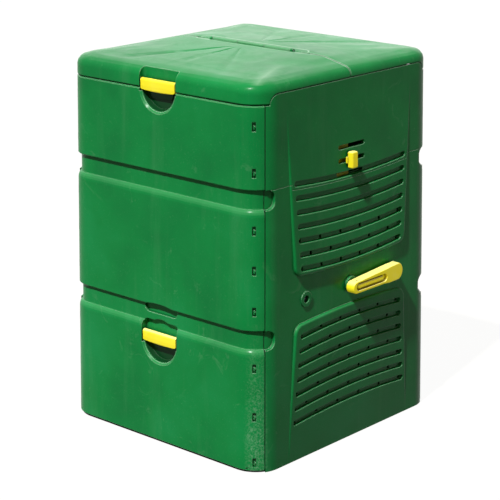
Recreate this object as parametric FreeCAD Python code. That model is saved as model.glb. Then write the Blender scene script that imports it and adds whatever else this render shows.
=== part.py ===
"""Compost bin with lid: tapered shell of clipped panels, two-wing lid, two ground doors,
air slides in the sides and a slatted floor that a lever turns. Millimetres, +Z up.
The origin is on the ground under the middle of the bin. The front is at -Y."""
import FreeCAD, Part
import math
import os

V = FreeCAD.Vector
os.makedirs("parts", exist_ok=True)

# Shell: outline at the ground, inward lean of the walls and wall thickness
FOOT_WIDTH = 768.0
FOOT_DEPTH = 806.0
LEAN = 14.0 / 1100.0
CORNER_R = 80.0
WALL = 5.0
SEAM_ANGLE = 60.0          # where front and side panels meet on the corner arc
SEAM_GAP_ANGLE = 1.2

# Heights of the joints between the panels
LOWER_JOINT_Z = 413.5
UPPER_JOINT_Z = 809.0
FRONT_RIM_Z = 1038.5
SIDE_RIM_Z = 1066.0
RIM_GAP = 2.5
EDGE_ROUND = 2.5

# Horizontal grooves below the two joints
GROOVE_HEIGHT = 56.0
GROOVE_DEPTH = 10.0
FINGER_END = 71.0          # groove's rounded end on the side, from the sharp corner
FINGER_R = 24.0

# Clip slots on the corner arcs
CLIP_ANGLE = 39.0
CLIP_WIDTH = 10.0
CLIP_HEIGHT = 25.0
UPPER_CLIPS = (983.0, 857.0)
MIDDLE_CLIPS = (698.0, 586.0, 470.0)
DOOR_CLIPS = (307.0, 165.0, 30.0)
FLANGE_INSET = 5.6
FLANGE_DEPTH = 9.2

# Air fields on the sides: bulges that are flush at the far end and proud at the lever band
FIELD_PROUD = 9.0
FIELD_WALL = 6.5
FIELD_FAR_HALF = 280.0
FIELD_BAND_HALF = 247.0
UPPER_FIELD = (1017.0, 545.0)      # flush height, proud height
LOWER_FIELD = (0.0, 402.0)
FIELD_SAG = 11.0
FIELD_CORNER_R = 30.0
FIELD_EDGE_R = 7.0

# Channels across the fields, their holes and the air slots
CHANNEL_DEPTH = 8.0
CHANNEL_BACK = 11.5
CHANNEL_HEIGHT = 16.0
CHANNEL_CHAMFER = 2.5
CHANNEL_ROWS = 7
UPPER_CHANNEL_Z = 800.0
UPPER_PITCH = 40.7
UPPER_HALF = (247.0, 226.0)
LOWER_CHANNEL_Z = 360.0
LOWER_PITCH = 42.0
LOWER_HALF = (228.0, 254.0)
HOLE_WIDTH = 9.0
HOLE_HEIGHT = 10.0
SLOT_Z = (876.0, 837.0, 798.5)
SLOT_LENGTH = 116.0
SLOT_HEIGHT = 13.0

# Air plate behind the slots and its knob
PLATE_LENGTH = 126.0
PLATE_THICK = 3.0
PLATE_GAP = 0.6
PLATE_Z = (790.5, 893.0)
KNOB_Y = -9.5
KNOB_WIDTH = 26.0
KNOB_HEIGHT = 47.0
KNOB_PROUD = 22.0

# Lid: crown profile as height over inset from the rim, and its seam across the middle
LID_WALL = 4.0
LID_PROFILE = ((1072.0, 0.0), (1082.0, 2.5), (1090.0, 8.5), (1096.0, 19.0), (1102.0, 43.0),
               (1108.0, 92.0), (1113.0, 185.0), (1115.5, 335.0))
SEAM_HALF = 1.2
SEAM_FLARE = 3.2
SEAM_DEPTH = 1.6
LID_AXIS_Z = 1116.0
KNUCKLE_R = 5.5
ROD_R = 3.0
STRIP_HALF = 150.0
EAR_WIDTH = 8.0
SCREW_Z = 1034.0

# Latches, their pockets and the finger scoops below them
LATCH_HALF = 66.0
LATCH_HEIGHT = 35.0
LATCH_CROWN = 4.0
LATCH_CORNER_R = 7.0
LATCH_TURN_R = 8.0
LATCH_PIN_R = 2.5
POCKET_HALF = 70.0
POCKET_DEPTH = 22.0
NOTCH_CORNER_R = 10.0
LID_LATCH_Z = 1032.0
DOOR_LATCH_Z = 298.0
DOOR_POCKET_TOP = 366.0
SCOOP_R = 66.0
SCOOP_FLOOR_R = 60.0
SCOOP_LIP = 4.0
SCOOP_RISE = 11.0          # scoop centre above the latch's lower edge

# Door
DOOR_BOTTOM = 5.0
DOOR_TOP_GAP = 3.0
DOOR_AXIS_INSET = 8.0
DOOR_AXIS_Z = 12.0
DOOR_KNUCKLE_R = 6.8
DOOR_PIN_R = 2.5
DOOR_KNUCKLES = (-200.0, 0.0, 200.0)
KNUCKLE_LENGTH = 36.0
EAR_LENGTH = 12.0
PIN_CLEARANCE = 0.05

# Slatted floor
AXIS_Z = 470.0
SLAT_PITCH = 196.0
SLAT_HALF = 92.0
SLAT_THICK = 4.0
SLAT_LENGTH_HALF = 340.0
SHAFT_R = 6.0
TUBE_R = 12.0
BUSH_R = 15.0
BOSS_R = 22.5
BOSS_HOLE_R = 11.0
LEVER_INNER_X = 387.0
LEVER_THICK = 27.5
LEVER_TAIL = 27.0
LEVER_REACH = 207.0
CRANK_RADIUS = 40.0
CRANK_THICK = 6.0
CRANK_X = -350.0
BAR_X = -356.8
CRANK_PIN_R = 3.0


def half_width(z):
    """Outer half width of the shell at a height."""
    return FOOT_WIDTH / 2 - LEAN * z


def half_depth(z):
    """Outer half depth of the shell at a height."""
    return FOOT_DEPTH / 2 - LEAN * z


def box(x0, x1, y0, y1, z0, z1):
    """Box between two corners."""
    return Part.makeBox(x1 - x0, y1 - y0, z1 - z0, V(x0, y0, z0))


def rod(radius, start, end):
    """Round bar from one point to another."""
    start, end = V(*start), V(*end)
    return Part.makeCylinder(radius, (end - start).Length, start, end - start)


def fused(shapes):
    """One solid from touching shapes."""
    shapes = list(shapes)
    return shapes[0].multiFuse(shapes[1:]).removeSplitter() if len(shapes) > 1 else shapes[0]


def turned(shape):
    """The same piece at the opposite wall."""
    return shape.copy().rotate(V(0, 0, 0), V(0, 0, 1), 180)


def mirrored_y(shape):
    return shape.mirror(V(0, 0, 0), V(0, 1, 0))


def mirrored_x(shape):
    return shape.mirror(V(0, 0, 0), V(1, 0, 0))


def plan_wire(z, inset):
    """Rounded rectangle of the shell at a height, moved inwards by an inset."""
    a = half_width(z) - inset
    b = half_depth(z) - inset
    r = max(CORNER_R - inset, 12.0)
    q = r * (1 - math.sqrt(0.5))
    edges = []
    for sx, sy in ((1, -1), (1, 1), (-1, 1), (-1, -1)):
        start = V(sx * (a - r), sy * b, z)
        middle = V(sx * (a - q), sy * (b - q), z)
        end = V(sx * a, sy * (b - r), z)
        if sx * sy > 0:
            start, end = end, start
        edges.append(Part.Arc(start, middle, end).toShape())
    sides = []
    for index, arc in enumerate(edges):
        follower = edges[(index + 1) % 4]
        sides.append(arc)
        sides.append(Part.makeLine(arc.Vertexes[-1].Point, follower.Vertexes[0].Point))
    return Part.Wire(sides)


def tapered(sections):
    """Closed solid through the shell's outline at (height, inset) pairs."""
    return Part.makeLoft([plan_wire(z, inset) for z, inset in sections], True, True)


def prism_between(points_at, low=-60.0, high=1250.0):
    """Upright solid whose corners follow the lean of the walls."""
    wires = []
    for z in (low, high):
        corners = [V(x, y, z) for x, y in points_at(z)]
        wires.append(Part.makePolygon(corners + corners[:1]))
    return Part.makeLoft(wires, True, True)


def arc_centre(z):
    """Centre of the front right corner arc."""
    return half_width(z) - CORNER_R, -(half_depth(z) - CORNER_R)


def ray(z, angle, reach=300.0):
    """Point on the line from the corner's centre at an angle from the front."""
    cx, cy = arc_centre(z)
    t = math.radians(angle)
    return cx + reach * math.sin(t), cy - reach * math.cos(t)


def front_sector(angle):
    def points(z):
        cx, cy = arc_centre(z)
        px, py = ray(z, angle)
        return [(cx, cy), (px, py), (px, -900), (-px, -900), (-px, py), (-cx, cy)]
    return prism_between(points)


def side_sector(angle):
    def points(z):
        cx, cy = arc_centre(z)
        px, py = ray(z, angle)
        return [(cx, cy), (px, py), (px, -py), (cx, -cy)]
    return prism_between(points)


def corner_wedge(first, last):
    def points(z):
        return [arc_centre(z), ray(z, first), ray(z, last)]
    return prism_between(points)


def yz_face(steps, x):
    """Face in an upright plane across X. A step with two points is an arc through the first."""
    edges = []
    here = V(x, *steps[0])
    for step in steps[1:] + (steps[0],):
        if isinstance(step[0], tuple):
            middle, end = V(x, *step[0]), V(x, *step[1])
            edges.append(Part.Arc(here, middle, end).toShape())
        else:
            end = V(x, *step)
            edges.append(Part.makeLine(here, end))
        here = end
    return Part.Face(Part.Wire(edges))


def at_corner(shape, z, angle):
    """Moves a shape built at the origin, outward along -Y, to the corner arc."""
    cx, cy = arc_centre(z)
    placed = shape.copy()
    placed.translate(V(0, -CORNER_R, 0))
    placed.rotate(V(0, 0, 0), V(0, 0, 1), angle)
    placed.translate(V(cx, cy, z))
    return placed


def clip_slots(heights):
    """Upright slots through the two front corners of a panel."""
    half = CLIP_WIDTH / 2
    slot = box(-half, half, -6, WALL + 2, -CLIP_HEIGHT / 2, CLIP_HEIGHT / 2)
    cuts = []
    for z in heights:
        cut = at_corner(slot, z, CLIP_ANGLE)
        cuts += [cut, mirrored_x(cut)]
    return cuts


def panel_shell(sections, wall=WALL):
    """Wall that follows an outer profile of (height, inset) pairs."""
    outer = tapered(sections)
    inner_sections = []
    for index, (z, inset) in enumerate(sections):
        rise = 1.0 if index in (0, len(sections) - 1) else 0.0
        lift = rise if index else -rise
        inner_sections.append((z + lift, inset + wall))
    for index in range(1, len(inner_sections) - 1):
        z, inset = inner_sections[index]
        inner_sections[index] = (z - wall * 0.8, inset)
    return outer.cut(tapered(inner_sections))


def grooved_profile(bottom, joint, top):
    """Panel profile with the groove below the joint above it."""
    foot = joint - GROOVE_HEIGHT
    return [(bottom, EDGE_ROUND), (bottom + EDGE_ROUND, 0.0), (foot - 18.0, 0.0), (foot - 11.0, 0.9),
            (foot - 5.0, 3.2), (foot - 1.0, 6.2), (foot + 1.5, 9.2), (foot + 4.0, GROOVE_DEPTH),
            (top, GROOVE_DEPTH)]


def inner_ribs(z0, z1, depth=13.0):
    """Upright stiffening ribs on the inside of a front panel."""
    band = tapered([(z0, WALL - 0.5), (z1, WALL - 0.5)])
    band = band.cut(tapered([(z0 - 1, depth), (z1 + 1, depth)]))
    ribs = [box(x - 1.5, x + 1.5, -450, -300, z0, z1) for x in (-260, -130, 130, 260)]
    return [band.common(rib) for rib in ribs]


def scoop(latch_z, floor_depth, grow=0.0):
    """Round finger scoop below a latch, with a flared mouth."""
    z = latch_z + SCOOP_RISE
    face = -half_depth(z)
    depth = floor_depth + grow
    well = Part.makeCone(SCOOP_R + grow, SCOOP_FLOOR_R + grow, depth, V(0, face, z), V(0, 1, 0))
    mouth = Part.makeCone(SCOOP_R + 2 * SCOOP_LIP + grow, SCOOP_R + grow, 2 * SCOOP_LIP,
                          V(0, face - SCOOP_LIP, z), V(0, 1, 0))
    return well.fuse(mouth)


def front_upper_panel():
    sections = [(UPPER_JOINT_Z, EDGE_ROUND), (UPPER_JOINT_Z + EDGE_ROUND, 0.0),
                (FRONT_RIM_Z - EDGE_ROUND, 0.0), (FRONT_RIM_Z, EDGE_ROUND)]
    outer = tapered(sections)
    shell = panel_shell(sections)
    hem = tapered([(UPPER_JOINT_Z, EDGE_ROUND + 0.5), (UPPER_JOINT_Z + 4, EDGE_ROUND + 0.5)])
    hem = hem.cut(tapered([(UPPER_JOINT_Z - 1, 9.7), (UPPER_JOINT_Z + 5, 9.7)]))
    scoop_wall = scoop(LID_LATCH_Z, POCKET_DEPTH, WALL).common(outer)
    body = fused([shell, hem, scoop_wall] + inner_ribs(UPPER_JOINT_Z + 20, FRONT_RIM_Z - 12))
    body = body.common(front_sector(SEAM_ANGLE))
    face = -half_depth(LID_LATCH_Z)
    rebate = box(-POCKET_HALF, POCKET_HALF, face - 5, face + POCKET_DEPTH - 1, LID_LATCH_Z - 2, 1100)
    cuts = [scoop(LID_LATCH_Z, POCKET_DEPTH), rebate] + clip_slots(UPPER_CLIPS)
    return body.cut(fused_cut(cuts))


def fused_cut(shapes):
    return Part.makeCompound(list(shapes))


def front_middle_panel():
    profile = grooved_profile(LOWER_JOINT_Z, UPPER_JOINT_Z, UPPER_JOINT_Z + 12)
    shell = panel_shell(profile)
    hem = tapered([(LOWER_JOINT_Z, EDGE_ROUND + 0.5), (LOWER_JOINT_Z + 4, EDGE_ROUND + 0.5)])
    hem = hem.cut(tapered([(LOWER_JOINT_Z - 1, 9.7), (LOWER_JOINT_Z + 5, 9.7)]))
    body = fused([shell, hem] + inner_ribs(LOWER_JOINT_Z + 20, UPPER_JOINT_Z - 75))
    body = body.common(front_sector(SEAM_ANGLE))
    arch_half, arch_rise = 62.0, 7.0
    arch_r = (arch_half ** 2 + arch_rise ** 2) / (2 * arch_rise)
    arch_z = LOWER_JOINT_Z + arch_rise - arch_r
    arch = rod(arch_r, (0, -460, arch_z), (0, -350, arch_z))
    arch = arch.common(box(-arch_half, arch_half, -500, 0, LOWER_JOINT_Z - 5, 500))
    body = body.cut(arch).cut(fused_cut(clip_slots(MIDDLE_CLIPS)))
    return fused([body, catch_plate()])


def catch_plate():
    """Plate behind the arch that closes the gap above the door's latch."""
    face = -half_depth(LOWER_JOINT_Z)
    y0, y1 = face + GROOVE_DEPTH + WALL + 1.5, face + GROOVE_DEPTH + WALL + 4.5
    low, high = DOOR_POCKET_TOP + WALL + 8, LOWER_JOINT_Z + 22
    plate = box(-72, 72, y0, y1, low, high)
    corners = [e for e in plate.Edges if abs(e.CenterOfMass.z - low) < 0.01
               and abs(abs(e.CenterOfMass.x) - 72) < 0.01]
    plate = plate.makeFillet(12.0, corners)
    ledge = box(-72, 72, face + 3, y1, high - 5, high)
    return plate.fuse(ledge)


def door_axis():
    """Place of the door's hinge line, as y and z."""
    return -(half_depth(DOOR_AXIS_Z) - DOOR_AXIS_INSET), DOOR_AXIS_Z


def pocket_prism(grow=0.0, depth=POCKET_DEPTH):
    """Upright pocket for the door latch with rounded upper corners."""
    face = -half_depth(DOOR_LATCH_Z)
    z0, z1 = DOOR_LATCH_Z - 4 - grow, DOOR_POCKET_TOP + grow
    half = POCKET_HALF + grow
    block = box(-half, half, face - 4, face + depth + grow, z0, z1)
    upright = [e for e in block.Edges if abs(e.CenterOfMass.z - z1) < 0.01
               and abs(abs(e.CenterOfMass.x) - half) < 0.01]
    return block.makeFillet(18.0 + grow, upright)


def front_door():
    top = LOWER_JOINT_Z - DOOR_TOP_GAP
    profile = grooved_profile(DOOR_BOTTOM, LOWER_JOINT_Z, top)
    outer = tapered(profile)
    shell = panel_shell(profile)
    wall = scoop(DOOR_LATCH_Z, POCKET_DEPTH, WALL).common(outer)
    pocket_wall = pocket_prism(WALL).common(outer)
    y, z = door_axis()
    knuckles = []
    for x in DOOR_KNUCKLES:
        x0, x1 = x - KNUCKLE_LENGTH / 2, x + KNUCKLE_LENGTH / 2
        knuckles.append(rod(DOOR_KNUCKLE_R, (x0, y, z), (x1, y, z)))
        knuckles.append(box(x0, x1, y - 5, y + 2, z + 2, z + 22))
    body = fused([shell, wall, pocket_wall] + inner_ribs(DOOR_BOTTOM + 25, LOWER_JOINT_Z - 75))
    body = body.common(front_sector(SEAM_ANGLE))
    body = fused([body] + knuckles)
    cut_out = box(-64, 64, -450, -380, LOWER_JOINT_Z - 26, LOWER_JOINT_Z + 5)
    cut_out = cut_out.makeFillet(16.0, [e for e in cut_out.Edges
                                        if abs(e.CenterOfMass.z - LOWER_JOINT_Z + 26) < 0.01
                                        and abs(abs(e.CenterOfMass.x) - 64) < 0.01])
    bores = [rod(DOOR_PIN_R + PIN_CLEARANCE, (-400, y, z), (400, y, z))]
    for x in (-100.0, 100.0):
        gap = 100 - KNUCKLE_LENGTH / 2
        bores.append(rod(DOOR_KNUCKLE_R + 1, (x - gap, y, z), (x + gap, y, z)))
        bores.append(box(x - gap, x + gap, y, y + 20, z - 7, z + 7))
    for x in (-1, 1):
        end = DOOR_KNUCKLES[-1] + KNUCKLE_LENGTH / 2
        near, far = sorted((x * end, x * (end + EAR_LENGTH + 2)))
        bores.append(rod(DOOR_KNUCKLE_R + 1, (near, y, z), (far, y, z)))
    cuts = [scoop(DOOR_LATCH_Z, POCKET_DEPTH), pocket_prism(), cut_out] + clip_slots(DOOR_CLIPS)
    body = body.cut(fused_cut(cuts)).cut(fused_cut(bores))
    pin_y, pin_z = latch_axis(DOOR_LATCH_Z)
    return body.cut(rod(LATCH_PIN_R, (-POCKET_HALF - 4, pin_y, pin_z),
                        (POCKET_HALF + 4, pin_y, pin_z)))


def latch_axis(z):
    """Turning line of a latch whose lower edge is at z."""
    face = -half_depth(z + LATCH_HEIGHT / 2)
    return face + LATCH_TURN_R, z + LATCH_HEIGHT - LATCH_TURN_R


def latch(z):
    """Grip bar with a bowed lower edge that turns on its pin."""
    y, turn_z = latch_axis(z)
    r = LATCH_TURN_R
    face = y - r
    half = LATCH_HALF
    steps = ((face + 1.5, z), (face, z + 3), (face - 0.6, z + 14), (face, turn_z),
             ((y, turn_z + r), (y + r, turn_z)),
             (face + 10.5, z + 17), (face + 8, z + 8), (face + 10.5, z + 5), (face + 10.5, z))
    bar = yz_face(steps, -half).extrude(V(2 * half, 0, 0))
    plan = box(-half, half, face - 0.6, face + 60, z - 5, z + LATCH_HEIGHT + 5)
    plan = plan.makeFillet(3.0, [e for e in plan.Edges if abs(e.CenterOfMass.y - face + 0.6) < 0.01
                                 and abs(abs(e.CenterOfMass.x) - half) < 0.01])
    bar = bar.common(plan).common(bowed_outline(face - 5, z, half))
    return bar.cut(rod(LATCH_PIN_R + PIN_CLEARANCE, (-half - 1, y, turn_z), (half + 1, y, turn_z)))


def bowed_outline(y, z, half):
    """Prism with the latch's front view: a bowed lower edge and round lower corners."""
    r = LATCH_CORNER_R
    high = z + LATCH_HEIGHT + 5
    low = z + LATCH_CROWN * ((half - r) / half) ** 2
    q = r * (1 - math.sqrt(0.5))
    points = [V(-half + r, y, low), V(0, y, z), V(half - r, y, low), V(half - q, y, low + q),
              V(half, y, low + r), V(half, y, high), V(-half, y, high), V(-half, y, low + r),
              V(-half + q, y, low + q)]
    edges = [Part.Arc(points[0], points[1], points[2]).toShape(),
             Part.Arc(points[2], points[3], points[4]).toShape(),
             Part.makeLine(points[4], points[5]), Part.makeLine(points[5], points[6]),
             Part.makeLine(points[6], points[7]),
             Part.Arc(points[7], points[8], points[0]).toShape()]
    return Part.Face(Part.Wire(edges)).extrude(V(0, 60, 0))


def latch_pin(z):
    y, turn_z = latch_axis(z)
    half = POCKET_HALF + 3.5
    return rod(LATCH_PIN_R, (-half, y, turn_z), (half, y, turn_z))


def lid_solid(shift_inset=0.0, shift_z=0.0, low=FRONT_RIM_Z + RIM_GAP):
    """Closed body under the lid's crown, with a rounded lower edge."""
    sections = [(low, EDGE_ROUND + shift_inset), (low + EDGE_ROUND, shift_inset)]
    sections += [(z + shift_z, inset + shift_inset) for z, inset in LID_PROFILE]
    return tapered(sections)


def side_window(half, top, radius, x_reach=500.0):
    """Outline of the side panels' raised shoulders, through the whole width."""
    q = radius * (1 - math.sqrt(0.5))
    steps = ((-half, 900.0), (half, 900.0), (half, top - radius),
             ((half - q, top - q), (half - radius, top)), (-half + radius, top),
             ((-half + q, top - q), (-half, top - radius)))
    return yz_face(steps, -x_reach).extrude(V(2 * x_reach, 0, 0))


def lid_notch(face, grow):
    """Upright pocket for the lid latch with rounded inner corners."""
    half, back = POCKET_HALF + grow, face + POCKET_DEPTH + grow
    block = box(-half, half, face - 20, back, 1000, 1130)
    corners = [e for e in block.Edges if abs(e.CenterOfMass.y - back) < 0.01
               and abs(abs(e.CenterOfMass.x) - half) < 0.01]
    return block.makeFillet(NOTCH_CORNER_R + grow, corners)


def lid_wings():
    """Front and rear wing of the lid, each with its share of the hinge knuckles."""
    outer = lid_solid()
    shell = outer.cut(lid_solid(LID_WALL, -LID_WALL, 1000.0))
    shell = shell.cut(side_window(337.0, SIDE_RIM_Z + RIM_GAP, 30.0))
    face = -half_depth(LID_LATCH_Z)
    notch = lid_notch(face, 0.0)
    wall = lid_notch(face, LID_WALL).common(outer)
    tongue = box(-44, 44, face + POCKET_DEPTH - 4.4, face + POCKET_DEPTH + 1, 1010, 1060)
    tongue = tongue.cut(box(-60, 60, face + POCKET_DEPTH - 0.6, face + 40, 1000, 1040))
    lower = [e for e in tongue.Edges if abs(e.CenterOfMass.z - 1010) < 0.01
             and abs(abs(e.CenterOfMass.x) - 44) < 0.01]
    tongue = tongue.makeFillet(16.0, lower)
    tongue = tongue.cut(rod(4.0, (0, face, 1030), (0, face + 40, 1030)))
    y, z = latch_axis(LID_LATCH_Z)
    pin_bore = rod(LATCH_PIN_R, (-POCKET_HALF - 4, y, z), (POCKET_HALF + 4, y, z))
    front = fused([shell, wall]).cut(notch)
    front = fused([front, tongue]).cut(pin_bore)
    rebate = box(-500, 500, -SEAM_FLARE, SEAM_FLARE, 1000, 1130)
    front = front.cut(rebate.cut(lid_solid(SEAM_DEPTH, -SEAM_DEPTH, 1000.0)))
    front = front.common(box(-500, 500, -500, -SEAM_HALF, 900, 1200))

    spans = ((-STRIP_HALF, -52.0), (-50.0, 50.0), (52.0, STRIP_HALF))
    wings = []
    for body, side, own in ((front, -1, (0, 2)), (turned(front), 1, (1,))):
        grown = []
        cuts = [rod(ROD_R + PIN_CLEARANCE, (-170, 0, LID_AXIS_Z), (170, 0, LID_AXIS_Z))]
        for index, (x0, x1) in enumerate(spans):
            if index in own:
                grown.append(rod(KNUCKLE_R, (x0, 0, LID_AXIS_Z), (x1, 0, LID_AXIS_Z)))
                y0, y1 = sorted((side * 2.0, side * 14.0))
                grown.append(box(x0, x1, y0, y1, LID_AXIS_Z - 5.5, LID_AXIS_Z - 0.5))
            else:
                cuts.append(rod(KNUCKLE_R + 0.8, (x0 - 1, 0, LID_AXIS_Z), (x1 + 1, 0, LID_AXIS_Z)))
        for sx in (-1, 1):
            x0, x1 = sorted((sx * (STRIP_HALF + 1), sx * (STRIP_HALF + EAR_WIDTH + 3)))
            cuts.append(box(x0, x1, -8.5, 8.5, LID_AXIS_Z - 20, LID_AXIS_Z + 10))
        wings.append(fused([body] + grown).cut(fused_cut(cuts)))
    return wings


def lid_bridge():
    """Beam between the side panels with two ears for the lid's hinge rod."""
    z0, z1 = 1026.0, 1060.0
    half = half_width(z0) - WALL - 3.0
    beam = box(-half, half, -20, 20, z0, z1).cut(box(-half + 6, half - 6, -16, 16, z0 - 1, z1 - 4))
    limit = tapered([(z0 - 25, WALL + 2.6), (z1 + 5, WALL + 2.6)])
    parts = [beam.common(limit)]
    for x in (-300, -200, -100, 0, 100, 200, 300):
        parts.append(box(x - 1.5, x + 1.5, -17, 17, z0 + 2, z1 - 3))
    for sx in (-1, 1):
        x0, x1 = sorted((sx * (STRIP_HALF + 2), sx * (STRIP_HALF + 2 + EAR_WIDTH)))
        parts.append(box(x0, x1, -6, 6, z1 - 1, LID_AXIS_Z))
        parts.append(rod(6.0, (x0, 0, LID_AXIS_Z), (x1, 0, LID_AXIS_Z)))
        end0, end1 = sorted((sx * (half - 8), sx * (half + 4)))
        parts.append(box(end0, end1, -34, 34, z0 - 3, z1).common(limit))
    body = fused(parts)
    holes = [rod(ROD_R, (-170, 0, LID_AXIS_Z), (170, 0, LID_AXIS_Z))]
    holes += [screw_bore(sx, y) for sx in (-1, 1) for y in (-27, 27)]
    return body.cut(fused_cut(holes))


def screw_bore(sx, y, radius=2.5):
    return rod(radius, (sx * 340.0, y, SCREW_Z), (sx * 369.0, y, SCREW_Z))


def bridge_screws():
    """Four screws that hold the bridge to the side panels from inside."""
    screws = []
    inner = half_width(SCREW_Z) - WALL - 11.0
    for sx in (-1, 1):
        for y in (-27, 27):
            shank = rod(2.5, (sx * (inner - 1), y, SCREW_Z), (sx * (inner + 13.5), y, SCREW_Z))
            head = rod(5.0, (sx * (inner - 3.5), y, SCREW_Z), (sx * inner, y, SCREW_Z))
            screws.append(fused([shank, head]))
    return Part.makeCompound(screws)


def field_frame(shape, upper):
    """Leans a shape built on the plane x = 0 onto an air field."""
    flush, proud = UPPER_FIELD if upper else LOWER_FIELD
    x_flush = half_width(flush)
    slope = (half_width(proud) + FIELD_PROUD - x_flush) / (proud - flush)
    placed = shape.copy()
    placed.rotate(V(0, 0, flush), V(0, 1, 0), math.degrees(math.atan(slope)))
    placed.translate(V(x_flush, 0, 0))
    return placed


def field_block(upper, inset, x0, x1, corner_r):
    """Upright block with the field's outline: narrow and curved at the lever band."""
    flush, proud = UPPER_FIELD if upper else LOWER_FIELD
    way = 1 if upper else -1
    band_z = proud + way * inset
    far_z = flush + way * 25.0
    band = FIELD_BAND_HALF - inset
    far = FIELD_FAR_HALF - inset
    sag = -way * FIELD_SAG
    steps = ((-band, band_z), ((0, band_z + sag), (band, band_z)), (far, far_z), (-far, far_z))
    block = yz_face(steps, x0).extrude(V(x1 - x0, 0, 0))
    corners = [e for e in block.Edges if abs(abs(e.CenterOfMass.y) - band) < 0.1
               and abs(e.CenterOfMass.z - band_z) < 0.1]
    return block.makeFillet(corner_r, corners)


def field_bulge(upper):
    """Field with a rounded shoulder all round its proud edge."""
    block = field_block(upper, 0.0, -16.0, 0.0, FIELD_CORNER_R)
    far_z = (UPPER_FIELD if upper else LOWER_FIELD)[0] + (25.0 if upper else -25.0)
    rim = [e for e in block.Edges if abs(e.BoundBox.XMin) < 0.01 and abs(e.BoundBox.XMax) < 0.01
           and abs(e.CenterOfMass.z - far_z) > 1]
    return field_frame(block.makeFillet(FIELD_EDGE_R, rim), upper)


def channel_place(upper, row):
    """Height at the ends, half length and sag of a channel."""
    share = row / (CHANNEL_ROWS - 1.0)
    ends = UPPER_HALF if upper else LOWER_HALF
    half = ends[0] + (ends[1] - ends[0]) * share
    top = UPPER_CHANNEL_Z - UPPER_PITCH * row if upper else LOWER_CHANNEL_Z - LOWER_PITCH * row
    return top, half, -FIELD_SAG if upper else FIELD_SAG


def channel_wire(x, z0, z1, half, sag):
    """Outline of a channel with round ends, at one depth."""
    r = (z1 - z0) / 2
    straight = half - r
    middle = (z0 + z1) / 2
    low = Part.Arc(V(x, -straight, z0), V(x, 0, z0 + sag), V(x, straight, z0)).toShape()
    right = Part.Arc(V(x, straight, z0), V(x, half, middle), V(x, straight, z1)).toShape()
    high = Part.Arc(V(x, straight, z1), V(x, 0, z1 + sag), V(x, -straight, z1)).toShape()
    left = Part.Arc(V(x, -straight, z1), V(x, -half, middle), V(x, -straight, z0)).toShape()
    return Part.Wire([low, right, high, left])


def channel_cut(upper, row):
    """Curved channel with a sloping lower lip, and its holes."""
    z, half, sag = channel_place(upper, row)
    floor_z = z + CHANNEL_CHAMFER
    outer = channel_wire(1.0, z - 0.9, z + CHANNEL_HEIGHT + 0.2, half + 0.7, sag)
    floor = channel_wire(-CHANNEL_DEPTH, floor_z, z + CHANNEL_HEIGHT - 0.8, half - 2.5, sag)
    cuts = [Part.makeLoft([outer, floor], True, True)]
    holed = row >= 4 if upper else True
    if holed:
        count = 6 if row % 2 == 0 else 5
        reach = half - 12.0
        pitch = 2 * reach / 5.0
        for index in range(count):
            y = (index - (count - 1) / 2.0) * pitch
            low = floor_z + sag * (1 - (y / half) ** 2) + 0.6
            cuts.append(box(-CHANNEL_BACK - 2, 0, y - HOLE_WIDTH / 2, y + HOLE_WIDTH / 2,
                            low, low + HOLE_HEIGHT))
    return cuts


def channel_backing(upper, row):
    """Thicker wall behind a channel."""
    z, half, sag = channel_place(upper, row)
    near = channel_wire(-FIELD_WALL + 0.5, z - 1.5, z + CHANNEL_HEIGHT + 2.5, half + 1.5, sag)
    far = channel_wire(-CHANNEL_BACK, z, z + CHANNEL_HEIGHT + 1.0, half, sag)
    return Part.makeLoft([near, far], True, True)


def slot_backing():
    """Thicker wall round the air slots, level with the backs of the channels."""
    half = SLOT_LENGTH / 2 + 8
    return box(-CHANNEL_BACK, -FIELD_WALL + 0.5, -half, half, SLOT_Z[2] - 12, SLOT_Z[0] + 12)


def air_slots():
    """Three long holes with round ends above the upper channels."""
    radius = SLOT_HEIGHT / 2
    reach = SLOT_LENGTH / 2 - radius
    x0, x1 = -CHANNEL_BACK - 2, 4.0
    cuts = []
    for z in SLOT_Z:
        middle = box(x0, x1, -reach, reach, z - radius, z + radius)
        ends = [rod(radius, (x0, y, z), (x1, y, z)) for y in (-reach, reach)]
        cuts.append(fused([middle] + ends))
    return cuts


def slide_rails():
    """Two angled rails that hold the air plate to the inside of the field."""
    y0, y1 = -122.0, 62.0
    inner = -FIELD_WALL + 0.5
    back = -CHANNEL_BACK - PLATE_GAP - PLATE_THICK - PLATE_GAP
    rails = []
    for z, way in ((PLATE_Z[1] + 0.6, 1), (PLATE_Z[0] - 0.6, -1)):
        low, high = sorted((z, z + way * 4.0))
        rails.append(box(back - 2.5, inner, y0, y1, low, high))
        low, high = sorted((z - way * 5.0, z + way * 4.0))
        rails.append(box(back - 2.5, back, y0, y1, low, high))
    return rails


def finger_prism(joint, grow=0.0):
    """Outline of the groove's rounded end on the side panel, at the front corner."""
    z0, z1 = joint - GROOVE_HEIGHT - grow, joint + grow
    end = -half_depth(joint) + FINGER_END + grow
    r = FINGER_R + grow
    q = r * (1 - math.sqrt(0.5))
    steps = ((-500.0, z0), (end - r, z0), ((end - q, z0 + q), (end, z0 + r)), (end, z1 - r),
             ((end - q, z1 - q), (end - r, z1)), (-500.0, z1))
    return yz_face(steps, 200.0).extrude(V(250, 0, 0))


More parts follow.
